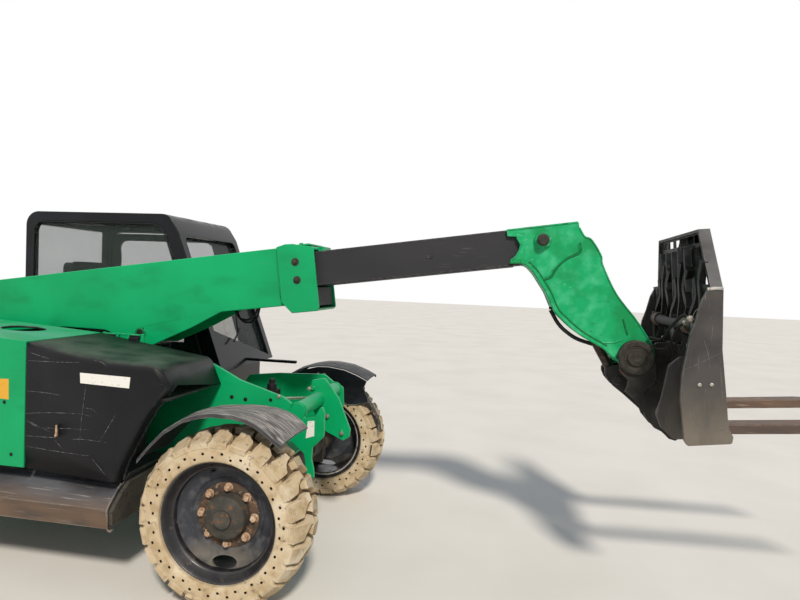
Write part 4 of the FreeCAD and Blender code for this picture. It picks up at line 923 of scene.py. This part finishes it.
def engine_cover():
    shape = Shape(MACHINE)
    spots = {name: shape.mesh.verts.new(MACHINE @ Vector(point)) for name, point in COVER.items()}
    inner = []
    for i, point in enumerate(COVER_FRONT):
        spots["front%d" % i] = spots["nose_out"] if i == 5 else shape.mesh.verts.new(MACHINE @ Vector(point))
        inner.append(shape.mesh.verts.new(MACHINE @ (Vector(point) + Vector((-24, COVER_DEPTH, -12)))))
    for face in COVER_FACES:
        shape.mesh.faces.new([spots[name] for name in face])
    for i in range(len(inner) - 1):
        shape.mesh.faces.new((spots["front%d" % i], inner[i], inner[i + 1], spots["front%d" % (i + 1)]))
    item = shape.finish("moulded_engine_cover", "engine_lid", POD_PLASTIC, 0)
    if max(item.data.polygons, key=lambda face: face.center.z).normal.z < 0:
        item.data.flip_normals()
    polish(item, 30, 5, 8)
    item.modifiers["rounded edges"].use_clamp_overlap = True
    wall = item.modifiers.new("wall", "SOLIDIFY")
    wall.thickness = 9 * MM
    wall.offset = -1
    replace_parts(item, "engine_cover")
    inside = Shape(MACHINE)
    inside.block((-572, -274), (-876, -372), (951, 962))
    for low, high, foot in ((-985, -925, 1168), (-829, -770, 1146)):
        inside.block((low, high), (-376, -357), (foot, 1178))
        inside.rod((low, -353, 1184), (high, -353, 1184), 7, 20)
    inside.finish("cover_fittings", "engine_lid", POD_PLASTIC, 1.5)
    lip = Shape(MACHINE)
    lip.tube([Vector(point) + Vector((-16, COVER_DEPTH - 10, -6)) for point in COVER_FRONT], 7, 8, 5)
    lip.finish("cover_inner_lip", "engine_lid", MUDGUARD, 0)


def strokes(shape, lines, side, lift, width):
    """Thin tapered drag marks lying on a flat side."""
    for points in lines:
        line = smooth_line([(x, 0, z) for x, z in points], 6)
        count = len(line) - 1
        rows = []
        for i, point in enumerate(line):
            swell = math.sin(math.pi * min(1, (i + 0.4) / count))
            half = width * (0.25 + 0.75 * swell * chance.uniform(0.5, 1.0))
            along = (line[min(i + 1, count)] - line[max(i - 1, 0)]).normalized()
            across = Vector((-along.z, 0, along.x)) * half / 2
            rows.append([point + across, point - across])
        made = [[shape.mesh.verts.new(shape.place @ Vector((p.x, side + lift, p.z))) for p in row] for row in rows]
        for near, far in zip(made, made[1:]):
            shape.mesh.faces.new((near[0], near[1], far[1], far[0]))


def pod_trim():
    marks = Shape(MACHINE)
    strokes(marks, (
        ((-997, 1102), (-860, 1104), (-716, 1110)), ((-1000, 955), (-900, 954), (-797, 946)),
        ((-1000, 846), (-900, 858), (-795, 864), (-700, 866), (-646, 858)),
        ((-1000, 816), (-935, 791), (-869, 769)), ((-1000, 812), (-924, 786), (-760, 792), (-644, 797)),
        ((-1000, 738), (-880, 741), (-814, 745)), ((-760, 742), (-680, 747), (-560, 742)),
        ((-682, 1004), (-690, 930), (-700, 850), (-704, 790), (-708, 722)), ((-521, 880), (-560, 815), (-601, 747)),
        ((-679, 897), (-640, 892), (-612, 868)), ((-980, 1140), (-930, 1128), (-880, 1118)),
        ((-640, 1125), (-600, 1118), (-570, 1098)), ((-840, 730), (-820, 712), (-800, 694)),
        ((-1000, 688), (-860, 679), (-700, 672), (-655, 672)), ((-640, 660), (-600, 620), (-570, 590)),
        ((-540, 1060), (-500, 1052), (-470, 1056))), -900, -0.7, 3)
    marks.finish("cover_drag_marks", "engine_lid", SCRATCH, 0)
    latch = Shape(MACHINE)
    latch.plate([(-846, 742, 10), (-812, 742, 10), (-812, 818, 10), (-846, 818, 10)], -904, -899)
    latch.finish("latch_plate", "engine_lid", POD_PLASTIC, 1.2)
    grip = Shape(MACHINE)
    grip.plate([(-838, 748, 5), (-820, 748, 5), (-823, 808, 4), (-835, 808, 4)], -910, -903)
    grip.rod((-829, -903, 757), (-829, -912, 757), 7, 16)
    grip.finish("latch_grip", "engine_lid", NUTS, 1.0)
    white = Shape(MACHINE)
    white.skin([[(-714, y, 1062), (-451, y, 1058), (-456, y, 1006), (-711, y, 1013)] for y in (-900.2, -901.2)])
    white.finish("blank_white_plate", "engine_lid", WHITE_STICKER, 0)
    amber = Shape(MACHINE)
    amber.plate([(-1152, 905, 4), (-1096, 903, 4), (-1098, 1009, 4), (-1153, 1007, 4)], -901, -900.1)
    amber.finish("blank_amber_plate", "chassis", AMBER_STICKER, 0)
    plugs = Shape(MACHINE)
    for x, z in ((-1123, 892), (-1700, 660), (-1080, 640)):
        plugs.turned([(9, 0), (9, 2), (6, 4)], (x, -900, z), (0, -1, 0), 20)
    plugs.finish("pod_plugs", "chassis", HOSE, 0.5)
    neck = Shape(MACHINE)
    neck.ring((-1330, -560, 1209), (0.08, 0, 1), 108, 5, 64)
    for i in range(10):
        turn = 2 * math.pi * i / 10
        neck.rod((-1330 + 46 * math.cos(turn), -560 + 46 * math.sin(turn), 1176),
                 (-1330 + 46 * math.cos(turn), -560 + 46 * math.sin(turn), 1186), 8, 12, 1.5)
    neck.finish("filler_ring", "chassis", POD_PLASTIC, 0)
    grille = Shape(MACHINE)
    for i in range(9):
        grille.block((-1790, -1470), (-903, -899), (760 + i * 34, 774 + i * 34))
    grille.plate([(-1804, 744, 14), (-1456, 744, 14), (-1456, 1062, 14), (-1804, 1062, 14)], -900.5, -899)
    grille.finish("side_louvres", "chassis", POD_PLASTIC, 1.0)


# Boom, its collar and its head

def boom_trim():
    for side, name in ((-1, "right"), (1, "left")):
        pins = Shape(BOOM)
        y = side * 153
        pins.turned([(33, -6), (33, 1), (30, 3), (23, 3), (21, 1)], (1902, y, -190), (0, side, 0), 40)
        pins.finish("lift_pin_" + name, "boom", DARK_GREEN_AND_CREASE_SHADE, 0.8)
        # A black core in the pin's boss: painted shade standing for the dark pin hole.
        centre = Shape(BOOM)
        centre.turned([(21, -8), (21, 1.5), (12, 1.5), (10, 4), (4, 4)], (1902, y, -190), (0, side, 0), 24)
        centre.finish("lift_pin_hole_shade_" + name, "boom", HOSE, 0.5)
        bolts = Shape(BOOM)
        for x, z in ((2889, 124), (2890, 24)):
            bolts.turned([(22, -2), (22, 3), (18, 4)], (x, side * 165, z), (0, side, 0), 32)
            bolts.bolt((x, side * 168, z), (0, side, 0), 18, False)
        bolts.finish("wear_pad_bolts_" + name, "boom", OLIVE_STEEL, 0.8)
        seams = Shape(BOOM)
        seams.tube([(2786, side * 147, 205), (2784, side * 147, 120), (2783, side * 147, 30), (2783, side * 147, -50),
                    (2796, side * 147, -92)], 7, 8, 24, 0.12)
        seams.finish("boom_welds_" + name, "boom", GREEN, 0)
        mark = Shape(BOOM)
        mark.ring((3626, side * 111, 85), (0, 1, 0), 15, 3, 28)
        mark.rod((3626, side * 109, 85), (3626, side * 113.5, 85), 13, 20, 1)
        mark.finish("extension_plug_" + name, "extension", CHARCOAL, 0)
    strip = Shape(BOOM)
    for side in (-1, 1):
        for z in (167, -10):
            strip.tube([(x, side * 104, z) for x in (1700, 2900, 4058)], 7, 8, 2)
    strip.finish("extension_corner_rolls", "extension", CHARCOAL, 0)
    lumps = Shape(BOOM)
    for x, span in ((2850, 60), (2930, 34)):
        lumps.block((x, x + span), (-120, 120), (212, 222))
    for y in (-80, 80):
        lumps.bolt((2905, y, 218), (0, 0, 1), 22)
    lumps.finish("collar_top_pads", "boom", GREEN, 3)
    under = Shape(BOOM)
    for y, drop in ((-20, 0), (6, 16)):
        under.tube([(2440, y, -107), (2462, y - 4, -150 - drop), (2510, y - 6, -172 - drop),
                    (2560, y - 4, -150 - drop), (2584, y, -107)], 6, 10, 8)
    under.finish("under_boom_hoses", "boom", HOSE, 0)
    # A black block filling the collar's open lower mouth: painted shade for the dark hollow inside it.
    mouth_shade = Shape(BOOM)
    mouth_shade.block((2905, 2988), (-138, 138), (-128, -24))
    mouth_shade.finish("collar_mouth_shade_block", "boom", HOSE, 3)
    sleeve = Shape(BOOM)
    sleeve.block((4050, 4118), (-108, 108), (-13, 170))
    sleeve.finish("boom_end_sleeve", "extension", CHARCOAL, 3)


HEAD_UNDER = ((4094, -8), (4123, -21), (4156, -62), (4187, -123), (4213, -178), (4241, -265), (4282, -321),
              (4356, -401), (4468, -483), (4560, -588))


def head_trim():
    flange = Shape(BOOM)
    for side in (-1, 1):
        edge = [(x + 3, side * 130, z + 6) for x, z in HEAD_UNDER]
        flange.tube(edge, 8, 10, 6)
        flange.tube([(4046, side * 130, 5), (4075, side * 130, 2), (4094, side * 130, -1)], 8, 10, 6)
        flange.tube([(4050, side * 130.5, 171), (4220, side * 130.5, 171), (4396, side * 130.5, 172)], 4, 6, 10)
    flange.finish("head_edge_flange", "extension", CHALKED, 0)
    seam = Shape(BOOM)
    # Dark green lines along the head's folds and under its flange edge: painted crease shade.
    crease_shade = Shape(BOOM)
    for side in (-1, 1):
        y = side * 130.5
        crease_shade.tube([(4400, y, 66), (4394, y, 19), (4327, y, -8), (4277, y, -46), (4244, y, -90), (4210, y, -102)],
                    5.2, 8, 10, 0.1)
        crease_shade.tube([(4573, y, -338), (4580, y, -380), (4587, y, -418)], 4.5, 8, 6)
        seam.tube([(4392, y, 62), (4386, y, 27), (4322, y, -1), (4270, y, -40), (4236, y, -84), (4212, y, -94)],
                  4, 8, 10, 0.1)
        line = [Vector((x, y, z)) for x, z in HEAD_UNDER]
        inner = []
        for i in range(1, len(line) - 1):
            along = (line[i + 1] - line[i - 1]).normalized()
            inner.append(line[i] + Vector((-along.z, 0, along.x)) * 24)
        crease_shade.tube(inner, 3.6, 8, 6)
        seam.tube([(4404, y, 143), (4424, y, 98), (4457, y, 75), (4495, y, -7), (4500, y, -60), (4552, y, -210),
                   (4637, y, -352), (4700, y, -480)], 4, 8, 8, 0.15)
        seam.tube([(4462, y, -448), (4520, y, -452), (4560, y, -440)], 4, 8, 6, 0.1)
        seam.tube([(4090, y, 128), (4104, y, 85), (4080, y, 36), (4046, y, 12)], 5, 8, 8, 0.15)
    seam.finish("head_welds", "extension", CHALKED, 0)
    crease_shade.finish("head_crease_shade_lines", "extension", DARK_GREEN_AND_CREASE_SHADE, 0)
    boss = Shape(BOOM)
    pins = Shape(BOOM)
    for side in (-1, 1):
        boss.turned([(44, -1), (44, 14), (40, 19), (28, 19), (26, 12)], (4218, side * 130, 100), (0, side, 0), 48)
        pins.turned([(27, -4), (27, 42), (23, 48), (8, 48)], (4218, side * 134, 100), (0, side, 0), 32)
        pins.ring((4218, side * 168, 100), (0, 1, 0), 28, 3.5, 32)
    boss.finish("head_pin_bosses", "extension", CHALKED, 1)
    pins.finish("head_pins", "extension", OLIVE_STEEL, 1)


def cylinder_trim():
    for name, place, barrel_body, radius, length in (("lift", LIFT, "lift_cylinder", 52, 1120),
                                                     ("tilt", TILT, "tilt_cylinder", 39, 520)):
        ports = Shape(place)
        ports.turned([(radius + 6, 0), (radius + 8, 3), (radius + 8, 44), (radius + 4, 50), (radius - 12, 50)],
                     (length - 52, 0, 0), (1, 0, 0), 48)
        for x in (110, length - 90):
            ports.rod((x, 0, radius - 6), (x, 0, radius + 22), 14, 20, 2)
            ports.turned([(13, 0), (13, 16)], (x, 0, radius + 20), (0, 0, 1), 6)
        ports.finish(name + "_ports", barrel_body, CHARCOAL, 1.2)
        pipes = Shape(place)
        pipes.tube([(110, 0, radius + 34), (150, 0, radius + 46), (300, 12, radius + 20),
                    (length - 140, 12, radius + 16), (length - 90, 0, radius + 36)], 8, 10, 8)
        pipes.finish(name + "_pipe", barrel_body, HOSE, 0)


# Carriage, guard and forks

def carriage_trim():
    right, left = -560, 410
    bolts = Shape(CARRIAGE)
    for x in (176, 224):
        for y, out in ((right, -1), (left, 1)):
            bolts.turned([(9, 0), (9, 4), (6, 7)], (x, y, -75), (0, out, 0), 20)
    for y, z in ((-300, -15), (-330, 65), (130, -15), (130, 65)):
        bolts.bolt((208, y, z), (-1, 0, 0), 24)
    bolts.finish("carriage_bolts", "fork_carriage", ZINC, 0.8)
    welds = Shape(CARRIAGE)
    for y in (right - 0.5, left + 0.5):
        welds.tube([(222, y, 332), (256, y, 334), (284, y, 332)], 6, 8, 14, 0.2)
    welds.finish("carriage_welds", "fork_carriage", BRIGHT_WELD, 0)
    marks = Shape(CARRIAGE)
    strokes(marks, (((116, -10), (190, 22), (274, 64)), ((150, 180), (170, 240), (210, 262)),
                    ((230, 220), (236, 160), (228, 110)), ((262, 40), (264, -90), (270, -200)),
                    ((140, -180), (160, -240), (190, -252)), ((180, -260), (230, -272), (270, -268)),
                    ((200, 120), (214, 60), (222, -20))), right, -0.7, 2.6)
    marks.finish("carriage_drag_marks", "fork_carriage", RUBBED_STEEL, 0)
    fitting = Shape(CARRIAGE)
    fitting.rod((165, -520, 205), (165, -486, 205), 12, 20, 2)
    fitting.turned([(15, 0), (15, 14)], (165, -500, 205), (0, -1, 0), 6)
    fitting.rod((168, -430, 182), (168, -400, 182), 11, 20, 2)
    fitting.finish("hose_couplers", "fork_carriage", ZINC, 0.8)
    lines = Shape(CARRIAGE)
    lines.tube([(165, -490, 205), (150, -440, 215), (120, -330, 150), (110, -210, 90), (70, -150, 95)], 7, 10, 8)
    lines.tube([(168, -400, 182), (150, -350, 150), (130, -260, 60), (105, -190, 40), (60, -150, 60)], 6, 10, 8)
    lines.finish("carriage_hoses", "fork_carriage", HOSE, 0)
    straps = Shape(CARRIAGE)
    for i in range(8):
        y = -470 + i * 108
        lean = (34, -30, 58)[i % 3]
        top = (455, 380, 425)[i % 3]
        straps.tube([(240, y, top), (236, y + lean, top - 90), (222, y - lean * 0.6, top - 180),
                     (226, y + lean, top - 270), (210, y - lean * 0.2, top - 350), (204, y + lean, top - 430)],
                    (20, 26, 23)[i % 3], 4, 5)
    straps.block((226, 234), (-546, -476), (200, 352))
    straps.rod((214, -400, 160), (214, 380, 160), 26, 24)
    straps.finish("guard_straps", "fork_carriage", BLACK_STEEL, 0)
    bosses = Shape(CARRIAGE)
    pins = Shape(CARRIAGE)
    for side in (-1, 1):
        bosses.turned([(86, -2), (86, 4), (80, 9), (60, 9), (56, 3)], (0, side * 172, 0), (0, side, 0), 56)
        pins.turned([(44, -4), (44, 10), (40, 14), (16, 14), (14, 11)], (0, side * 172, 0), (0, side, 0), 40)
        pins.bolt((58, side * 176, 34), (0, side, 0), 15)
    bosses.finish("tilt_bosses", "fork_carriage", OLIVE_STEEL, 1)
    pins.finish("tilt_pins", "fork_carriage", OLIVE_STEEL, 1)
    hooks = Shape(CARRIAGE)
    for y in (-288, 288):
        hooks.turned([(40, -40), (40, 40), (27, 40), (27, -40)], (222, y, 160), (0, 1, 0), 40, wrap=True)
        hooks.block((240, 284), (y - 49, y + 49), (196, 214))
        hooks.rod((262, y - 30, 205), (262, y - 30, 236), 8, 16, 2)
    hooks.finish("fork_hooks", "fork_carriage", FORK_STEEL, 2)


# Frame, cross member and small fittings in front

def frame_trim():
    bolts = Shape(MACHINE)
    for x, z in ((-205, 885), (-125, 878)):
        bolts.turned([(11, 0), (11, 3), (6, 5)], (x, -360, z), (0, -1, 0), 20)
    bolts.turned([(10, 0), (10, 1.5)], (19, -360, 885), (0, -1, 0), 20)
    bolts.finish("frame_plugs", "chassis", HOSE, 0.5)
    bright = Shape(MACHINE)
    bright.bolt((66, -360, 908), (0, -1, 0), 15)
    for x, z in ((120, 895), (236, 741), (327, 647)):
        bright.bolt((x, -22, z), (0, -1, 0), 17)
        bright.bolt((x, 24, z), (0, 1, 0), 17)
    bright.finish("front_bolts", "chassis", ZINC, 0.6)
    rods = Shape(MACHINE)
    rods.tube([(66, -338, 893), (100, -180, 868), (141, -12, 842)], 7, 10, 6)
    rods.finish("front_stay", "chassis", ZINC, 0.8)
    valve = Shape(MACHINE)
    valve.turned([(30, 0), (30, 34), (20, 40), (20, 62), (12, 66)], (-163, 100, 852), (0, 0, 1), 28)
    valve.block((-210, -120), (60, 140), (790, 853))
    valve.finish("front_valve", "chassis", HOSE, 2)
    welds = Shape(MACHINE)
    turns = [2 * math.pi * i / 16 for i in range(17)]
    for y in (-341, 337):
        welds.tube([(172 + 44 * math.cos(t), y, 836 + 44 * math.sin(t)) for t in turns], 4, 8, 3, 0.2)
    welds.finish("cross_tube_welds", "chassis", GREEN, 0)
    decal = Shape(MACHINE)
    decal.plate([(216, 684, 8), (278, 706, 8), (276, 800, 8), (226, 794, 8)], -360.9, -360.1)
    decal.finish("blank_white_patch", "chassis", WHITE_STICKER, 0)


SILL_SECTION = ((-400, 556), (-750, 556), (-778, 530), (-815, 522, 10), (-920, 432, 10), (-920, 337, 4), (-880, 335),
                (-400, 335))
SILL_END = -545


def sill():
    """Folded step: an upright lower face, a broad slope above it, and a closing panel across its front end."""
    shape = Shape(MACHINE)
    shape.plate(SILL_SECTION, -1818, SILL_END, "YZ")
    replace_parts(shape.finish("folded_sill", "chassis", SILL, 3), "sill_right")
    panel = Shape(MACHINE)
    panel.plate([(-420, 540), (-780, 536, 16), (-842, 476), (-912, 424, 8), (-914, 344, 10), (-420, 350)],
                SILL_END, -524, "YZ")
    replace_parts(panel.finish("sill_end_panel", "chassis", DUSTY_PANEL, 2), "sill_right")
    edge = Shape(MACHINE)
    edge.tube([(SILL_END, -816, 522), (SILL_END, -866, 480), (SILL_END + 2, -917, 434), (SILL_END + 4, -918, 390),
               (SILL_END + 4, -916, 342), (SILL_END + 18, -912, 330), (SILL_END + 26, -912, 340)], 5, 8, 6)
    edge.finish("sill_end_roll", "chassis", SILL, 0)


GUARD_RIGHT = (
    ((-413, 677), (-413, 677)), ((-353, 749), (-353, 749)), ((-282, 822), (-282, 822)), ((-191, 882), (-191, 882)),
    ((-115, 908), (-115, 900)), ((-45, 921), (-60, 906)), ((56, 920), (39, 914)), ((110, 909), (110, 914)),
    ((160, 891), (172, 907)), ((203, 866), (216, 895)), ((241, 838), (254, 880)), ((268, 818), (292, 853)),
    ((289, 803), (326, 824)))
GUARD_LEFT = tuple((point, point) for point in (
    (-413, 677), (-353, 755), (-285, 840), (-192, 896), (-114, 923), (-40, 938), (41, 941), (156, 926), (249, 893),
    (322, 858)))
INNER_WALL = ((-192, 888), (-40, 930), (41, 933), (156, 918), (249, 885), (318, 852), (300, 804), (339, 706),
              (255, 686), (183, 680), (131, 715), (79, 760), (-32, 802), (-150, 812))
FLAP_LEFT = (((300, 806), (288, 796)), ((297, 766), (284, 754)), ((361, 691), (349, 680)),
             ((417, 575), (408, 562)), ((424, 516), (418, 500)))


def mudguards():
    """Pressed guards: a crowned sheet with a short turned-down lip along its outer edge."""
    for side, name, stations in ((-1, "right", GUARD_RIGHT), (1, "left", GUARD_LEFT)):
        body = "steer_front_" + name
        shape = Shape(MACHINE)
        rings = []
        for i, ((near_x, near_z), (far_x, far_z)) in enumerate(stations):
            ragged = chance.uniform(-5, 5) if i == len(stations) - 1 else 0
            top = []
            for share, out in ((0, 893), (0.03, 882), (0.3, 812), (0.55, 750), (0.8, 685), (1, 622)):
                top.append((near_x + (far_x - near_x) * share + ragged * (1 - 2 * share), side * out,
                            near_z + (far_z - near_z) * share + 7 * math.sin(math.pi * share)))
            lip = (top[0][0], side * 896, top[0][2] - 20)
            under = [(x, y, z - 7) for x, y, z in reversed(top[1:])]
            rings.append([lip] + top + under + [(top[0][0], side * 889, top[0][2] - 8),
                                                (top[0][0], side * 889, top[0][2] - 20)])
        shape.skin(rings)
        item = shape.finish("pressed_mudguard_" + name, body, MUDGUARD, 1.5, 2, 40)
        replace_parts(item, "mudguard_" + name)
        bolts = Shape(MACHINE)
        for x in (-30, 16):
            bolts.bolt((x, side * 600, 880), (0, 0, 1), 16)
        bolts.finish("mudguard_bolts_" + name, body, ZINC, 0.6)
    wall = Shape(MACHINE)
    wall.plate(INNER_WALL, 609, 616)
    wall.finish("mudguard_inner_wall", "steer_front_left", FLAP, 1.5)
    flap = Shape(MACHINE)
    rings = []
    for (near_x, near_z), (far_x, far_z) in FLAP_LEFT:
        face = [(near_x, 612, near_z), (near_x, 640, near_z), (far_x, 700, far_z)]
        rings.append(face + [(x - 7, y, z - 5) for x, y, z in reversed(face)])
    flap.skin(rings)
    flap.finish("mud_flap", "steer_front_left", FLAP, 1.5)


# Cab and its inside

def seat():
    """Crowned vinyl cushion and back on a plain base."""
    low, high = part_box("seat")
    base = Shape(MACHINE)
    base.plate([(-1640, 686, 10), (-1260, 686, 10), (-1290, 920, 20), (-1610, 920, 20)], 320, 670)
    for i in range(5):
        base.plate([(-1600 + i * 6, 720 + i * 36, 4), (-1296 - i * 6, 720 + i * 36, 4), (-1296 - i * 6, 736 + i * 36, 4),
                    (-1600 + i * 6, 736 + i * 36, 4)], 312, 678)
    item = base.finish("seat_base", "chassis", HOSE, 2)
    pads = (
        ("seat_cushion", (-1450, 495, 990), (250, 225, 62), 0.0),
        ("seat_back", (-1745, 495, 1330), (55, 205, 270), math.radians(7.5)))
    for name, centre, size, lean in pads:
        shape = Shape(MACHINE)
        bmesh.ops.create_cube(shape.mesh, size=2)
        bmesh.ops.subdivide_edges(shape.mesh, edges=shape.mesh.edges[:], cuts=5, use_grid_fill=True)
        thin = min(range(3), key=lambda k: size[k])
        flat_a, flat_b = [k for k in range(3) if k != thin]
        for vertex in shape.mesh.verts:
            a, b = vertex.co[flat_a], vertex.co[flat_b]
            bulge = 1 - 0.34 * (abs(a) ** 4 + abs(b) ** 4) / 2
            channel = 1 - 0.10 * max(0.0, 1 - abs(abs(b) - 0.34) / 0.12) * (1 - abs(a) ** 6)
            local = Vector([vertex.co[k] * size[k] for k in range(3)])
            local[thin] *= bulge * channel
            pull = 1 - 0.035 * (1 - abs(vertex.co[thin]))
            local[flat_a] *= pull
            local[flat_b] *= pull
            turned = Matrix.Rotation(-lean, 3, "Y") @ local
            vertex.co = MACHINE @ (Vector(centre) + turned)
        pad = shape.finish(name, "chassis", VINYL, 0)
        soft = pad.modifiers.new("soft", "SUBSURF")
        soft.levels = 2
        soft.render_levels = 2
        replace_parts(pad, "seat")
    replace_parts(item, "seat")


def cab_trim():
    seals = Shape(MACHINE)
    right = [(-1858, 84, 1000), (-1858, 84, 1800), (-1820, 84, 1852), (-985, 84, 1852), (-930, 84, 1830),
             (-902, 84, 1780), (-624, 84, 1012), (-640, 84, 1000)]
    for near, far in zip(right, right[1:] + right[:1]):
        seals.tube([near, ((near[0] + far[0]) / 2, 84, (near[2] + far[2]) / 2), far], 6, 8, 2)
    seals.finish("window_seal_right", "chassis", HOSE, 0)
    wiper = Shape(MACHINE)
    wiper.rod((-520, 300, 1110), (-560, 470, 1180), 6, 10)
    wiper.rod((-548, 420, 1150), (-640, 520, 1400), 5, 10)
    wiper.finish("wiper", "chassis", HOSE, 0.5)
    grip = Shape(MACHINE)
    grip.tube([(-1880, 912, 900), (-1880, 940, 930), (-1880, 945, 1200), (-1880, 940, 1470), (-1880, 912, 1500)],
              12, 12, 8)
    grip.finish("grab_rail", "chassis", CAB_GLOSS, 0)
    handle = Shape(MACHINE)
    handle.plate([(-806, 895, 8), (-684, 895, 8), (-684, 930, 8), (-806, 930, 8)], 912, 922)
    handle.rod((-700, 914, 945), (-700, 922, 945), 12, 20, 2)
    handle.finish("door_handle", "door", HOSE, 1.5)
    levers = Shape(MACHINE)
    levers.rod((-1380, 235, 930), (-1350, 230, 1130), 9, 14)
    levers.turned([(20, 0), (26, 20), (26, 60), (16, 90), (4, 96)], (-1352, 230, 1110), (0.1, 0, 1), 24)
    levers.block((-1560, -1260), (180, 262), (684, 940))
    levers.finish("armrest_controls", "chassis", HOSE, 4)
    hub = Shape(MACHINE)
    hub.turned([(34, -8), (34, 10), (28, 16), (6, 18)], (-922, 495, 1240), (-0.64, 0, 0.77), 32)
    hub.finish("steering_hub", "chassis", HOSE, 1)
    roof = Shape(MACHINE)
    roof.plate([(-1880, 130, 40), (-930, 130, 40), (-930, 855, 40), (-1880, 855, 40)], 1916, 1926, "XY")
    roof.finish("roof_skin", "chassis", CAB_GLOSS, 0)


def rear_trim():
    for side in (-1, 1):
        name = "right" if side < 0 else "left"
        for kind, low, high, colour in (("tail", 995, 1050, RED_LENS), ("turn", 940, 990, AMBER_LENS)):
            lamp = Shape(MACHINE)
            lamp.plate([(side * y, z, 6) for y, z in ((765, low), (835, low), (835, high), (765, high))],
                       -3008, -2998, "YZ")
            lamp.finish("%s_lens_%s" % (kind, name), "chassis", colour, 2)
    vents = Shape(MACHINE)
    for i in range(8):
        vents.block((-3004, -2999), (-700, -330), (930 + i * 22, 940 + i * 22))
        vents.block((-3004, -2999), (330, 700), (930 + i * 22, 940 + i * 22))
    vents.finish("rear_vents", "chassis", POD_PLASTIC, 1)
    tow = Shape(MACHINE)
    tow.rod((-2962, 0, 425), (-2962, 0, 560), 16, 24, 3)
    tow.tube([(-2962, -12, 560), (-2962, -26, 586), (-2962, 0, 604), (-2962, 26, 586), (-2962, 12, 560)], 5, 8, 6)
    tow.finish("tow_pin", "chassis", ZINC, 0)
    bolts = Shape(MACHINE)
    for y in (-250, -130, 130, 250):
        bolts.bolt((-3000, y, 640), (-1, 0, 0), 30)
        bolts.bolt((-3000, y, 800), (-1, 0, 0), 30)
    bolts.finish("ballast_bolts", "chassis", ZINC, 1)


def underside():
    shaft = Shape(MACHINE)
    shaft.rod((-2330, 20, 430), (-1280, 20, 470), 34, 28)
    shaft.rod((-1000, 20, 470), (-110, -60, 430), 34, 28)
    shaft.turned([(48, 0), (60, 10), (60, 60), (48, 70)], (-2330, 20, 430), (1, 0, 0.04), 32)
    shaft.turned([(48, 0), (60, 10), (60, 60), (48, 70)], (-180, -54, 432), (-1, 0, 0.04), 32)
    shaft.plate([(-1300, 380, 30), (-980, 380, 30), (-960, 556), (-1320, 556)], -60, 130)
    shaft.finish("drive_shafts", "chassis", CAST, 1.5)


FINISHES = {
    GREEN: (("chassis_frame", 2.5), ("front_cross_member", 2), ("rear_hood", 4), ("rear_casing_right", 12),
            ("rear_casing_left", 12), ("boom_outer", 5)),
    CHALKED: (("boom_head", 0),),
    CHARCOAL: (("boom_inner", 6), ("ballast", 6), ("lift_barrel", 2), ("tilt_barrel", 2)),
    WORN_STEEL: (("carriage", 3),),
    HITCH: (("hitch", 2.5),),
    OILY_ROD: (("tilt_rod", 1),),
    GUARD: (("load_guard", 2),),
    FORK_STEEL: (("forks", 5),),
    SILL: (("tank_left", 10),),
    CAST: (("engine_block", 10), ("front_axle", 4), ("rear_axle", 4), ("knuckle_front_left", 3),
           ("knuckle_front_right", 3), ("knuckle_rear_left", 3), ("knuckle_rear_right", 3)),
    POD_PLASTIC: (("filler_cap", 2), ("dash_console", 4)),
    CHROME: (("lift_rod", 1),),
    CAB_GLOSS: (("cab_frame", 4), ("cab_floor", 2), ("cab_door", 4)),
    GLASS: (("cab_glass", 0), ("door_glass", 0)),
    HOSE: (("head_hose", 0),),
}

make_camera()
make_light()
for material, dressed in FINISHES.items():
    for node_name, rounding in dressed:
        dress(node_name, material, rounding)
for wheel in WHEELS:
    tyre(wheel)
    rim(wheel)
engine_cover()
pod_trim()
boom_trim()
head_trim()
cylinder_trim()
carriage_trim()
frame_trim()
sill()
mudguards()
seat()
cab_trim()
rear_trim()
underside()

bpy.ops.mesh.primitive_plane_add(size=FLOOR_SIDE)
floor = bpy.context.object
floor.name = "floor"
floor.data.materials.append(pale_floor())
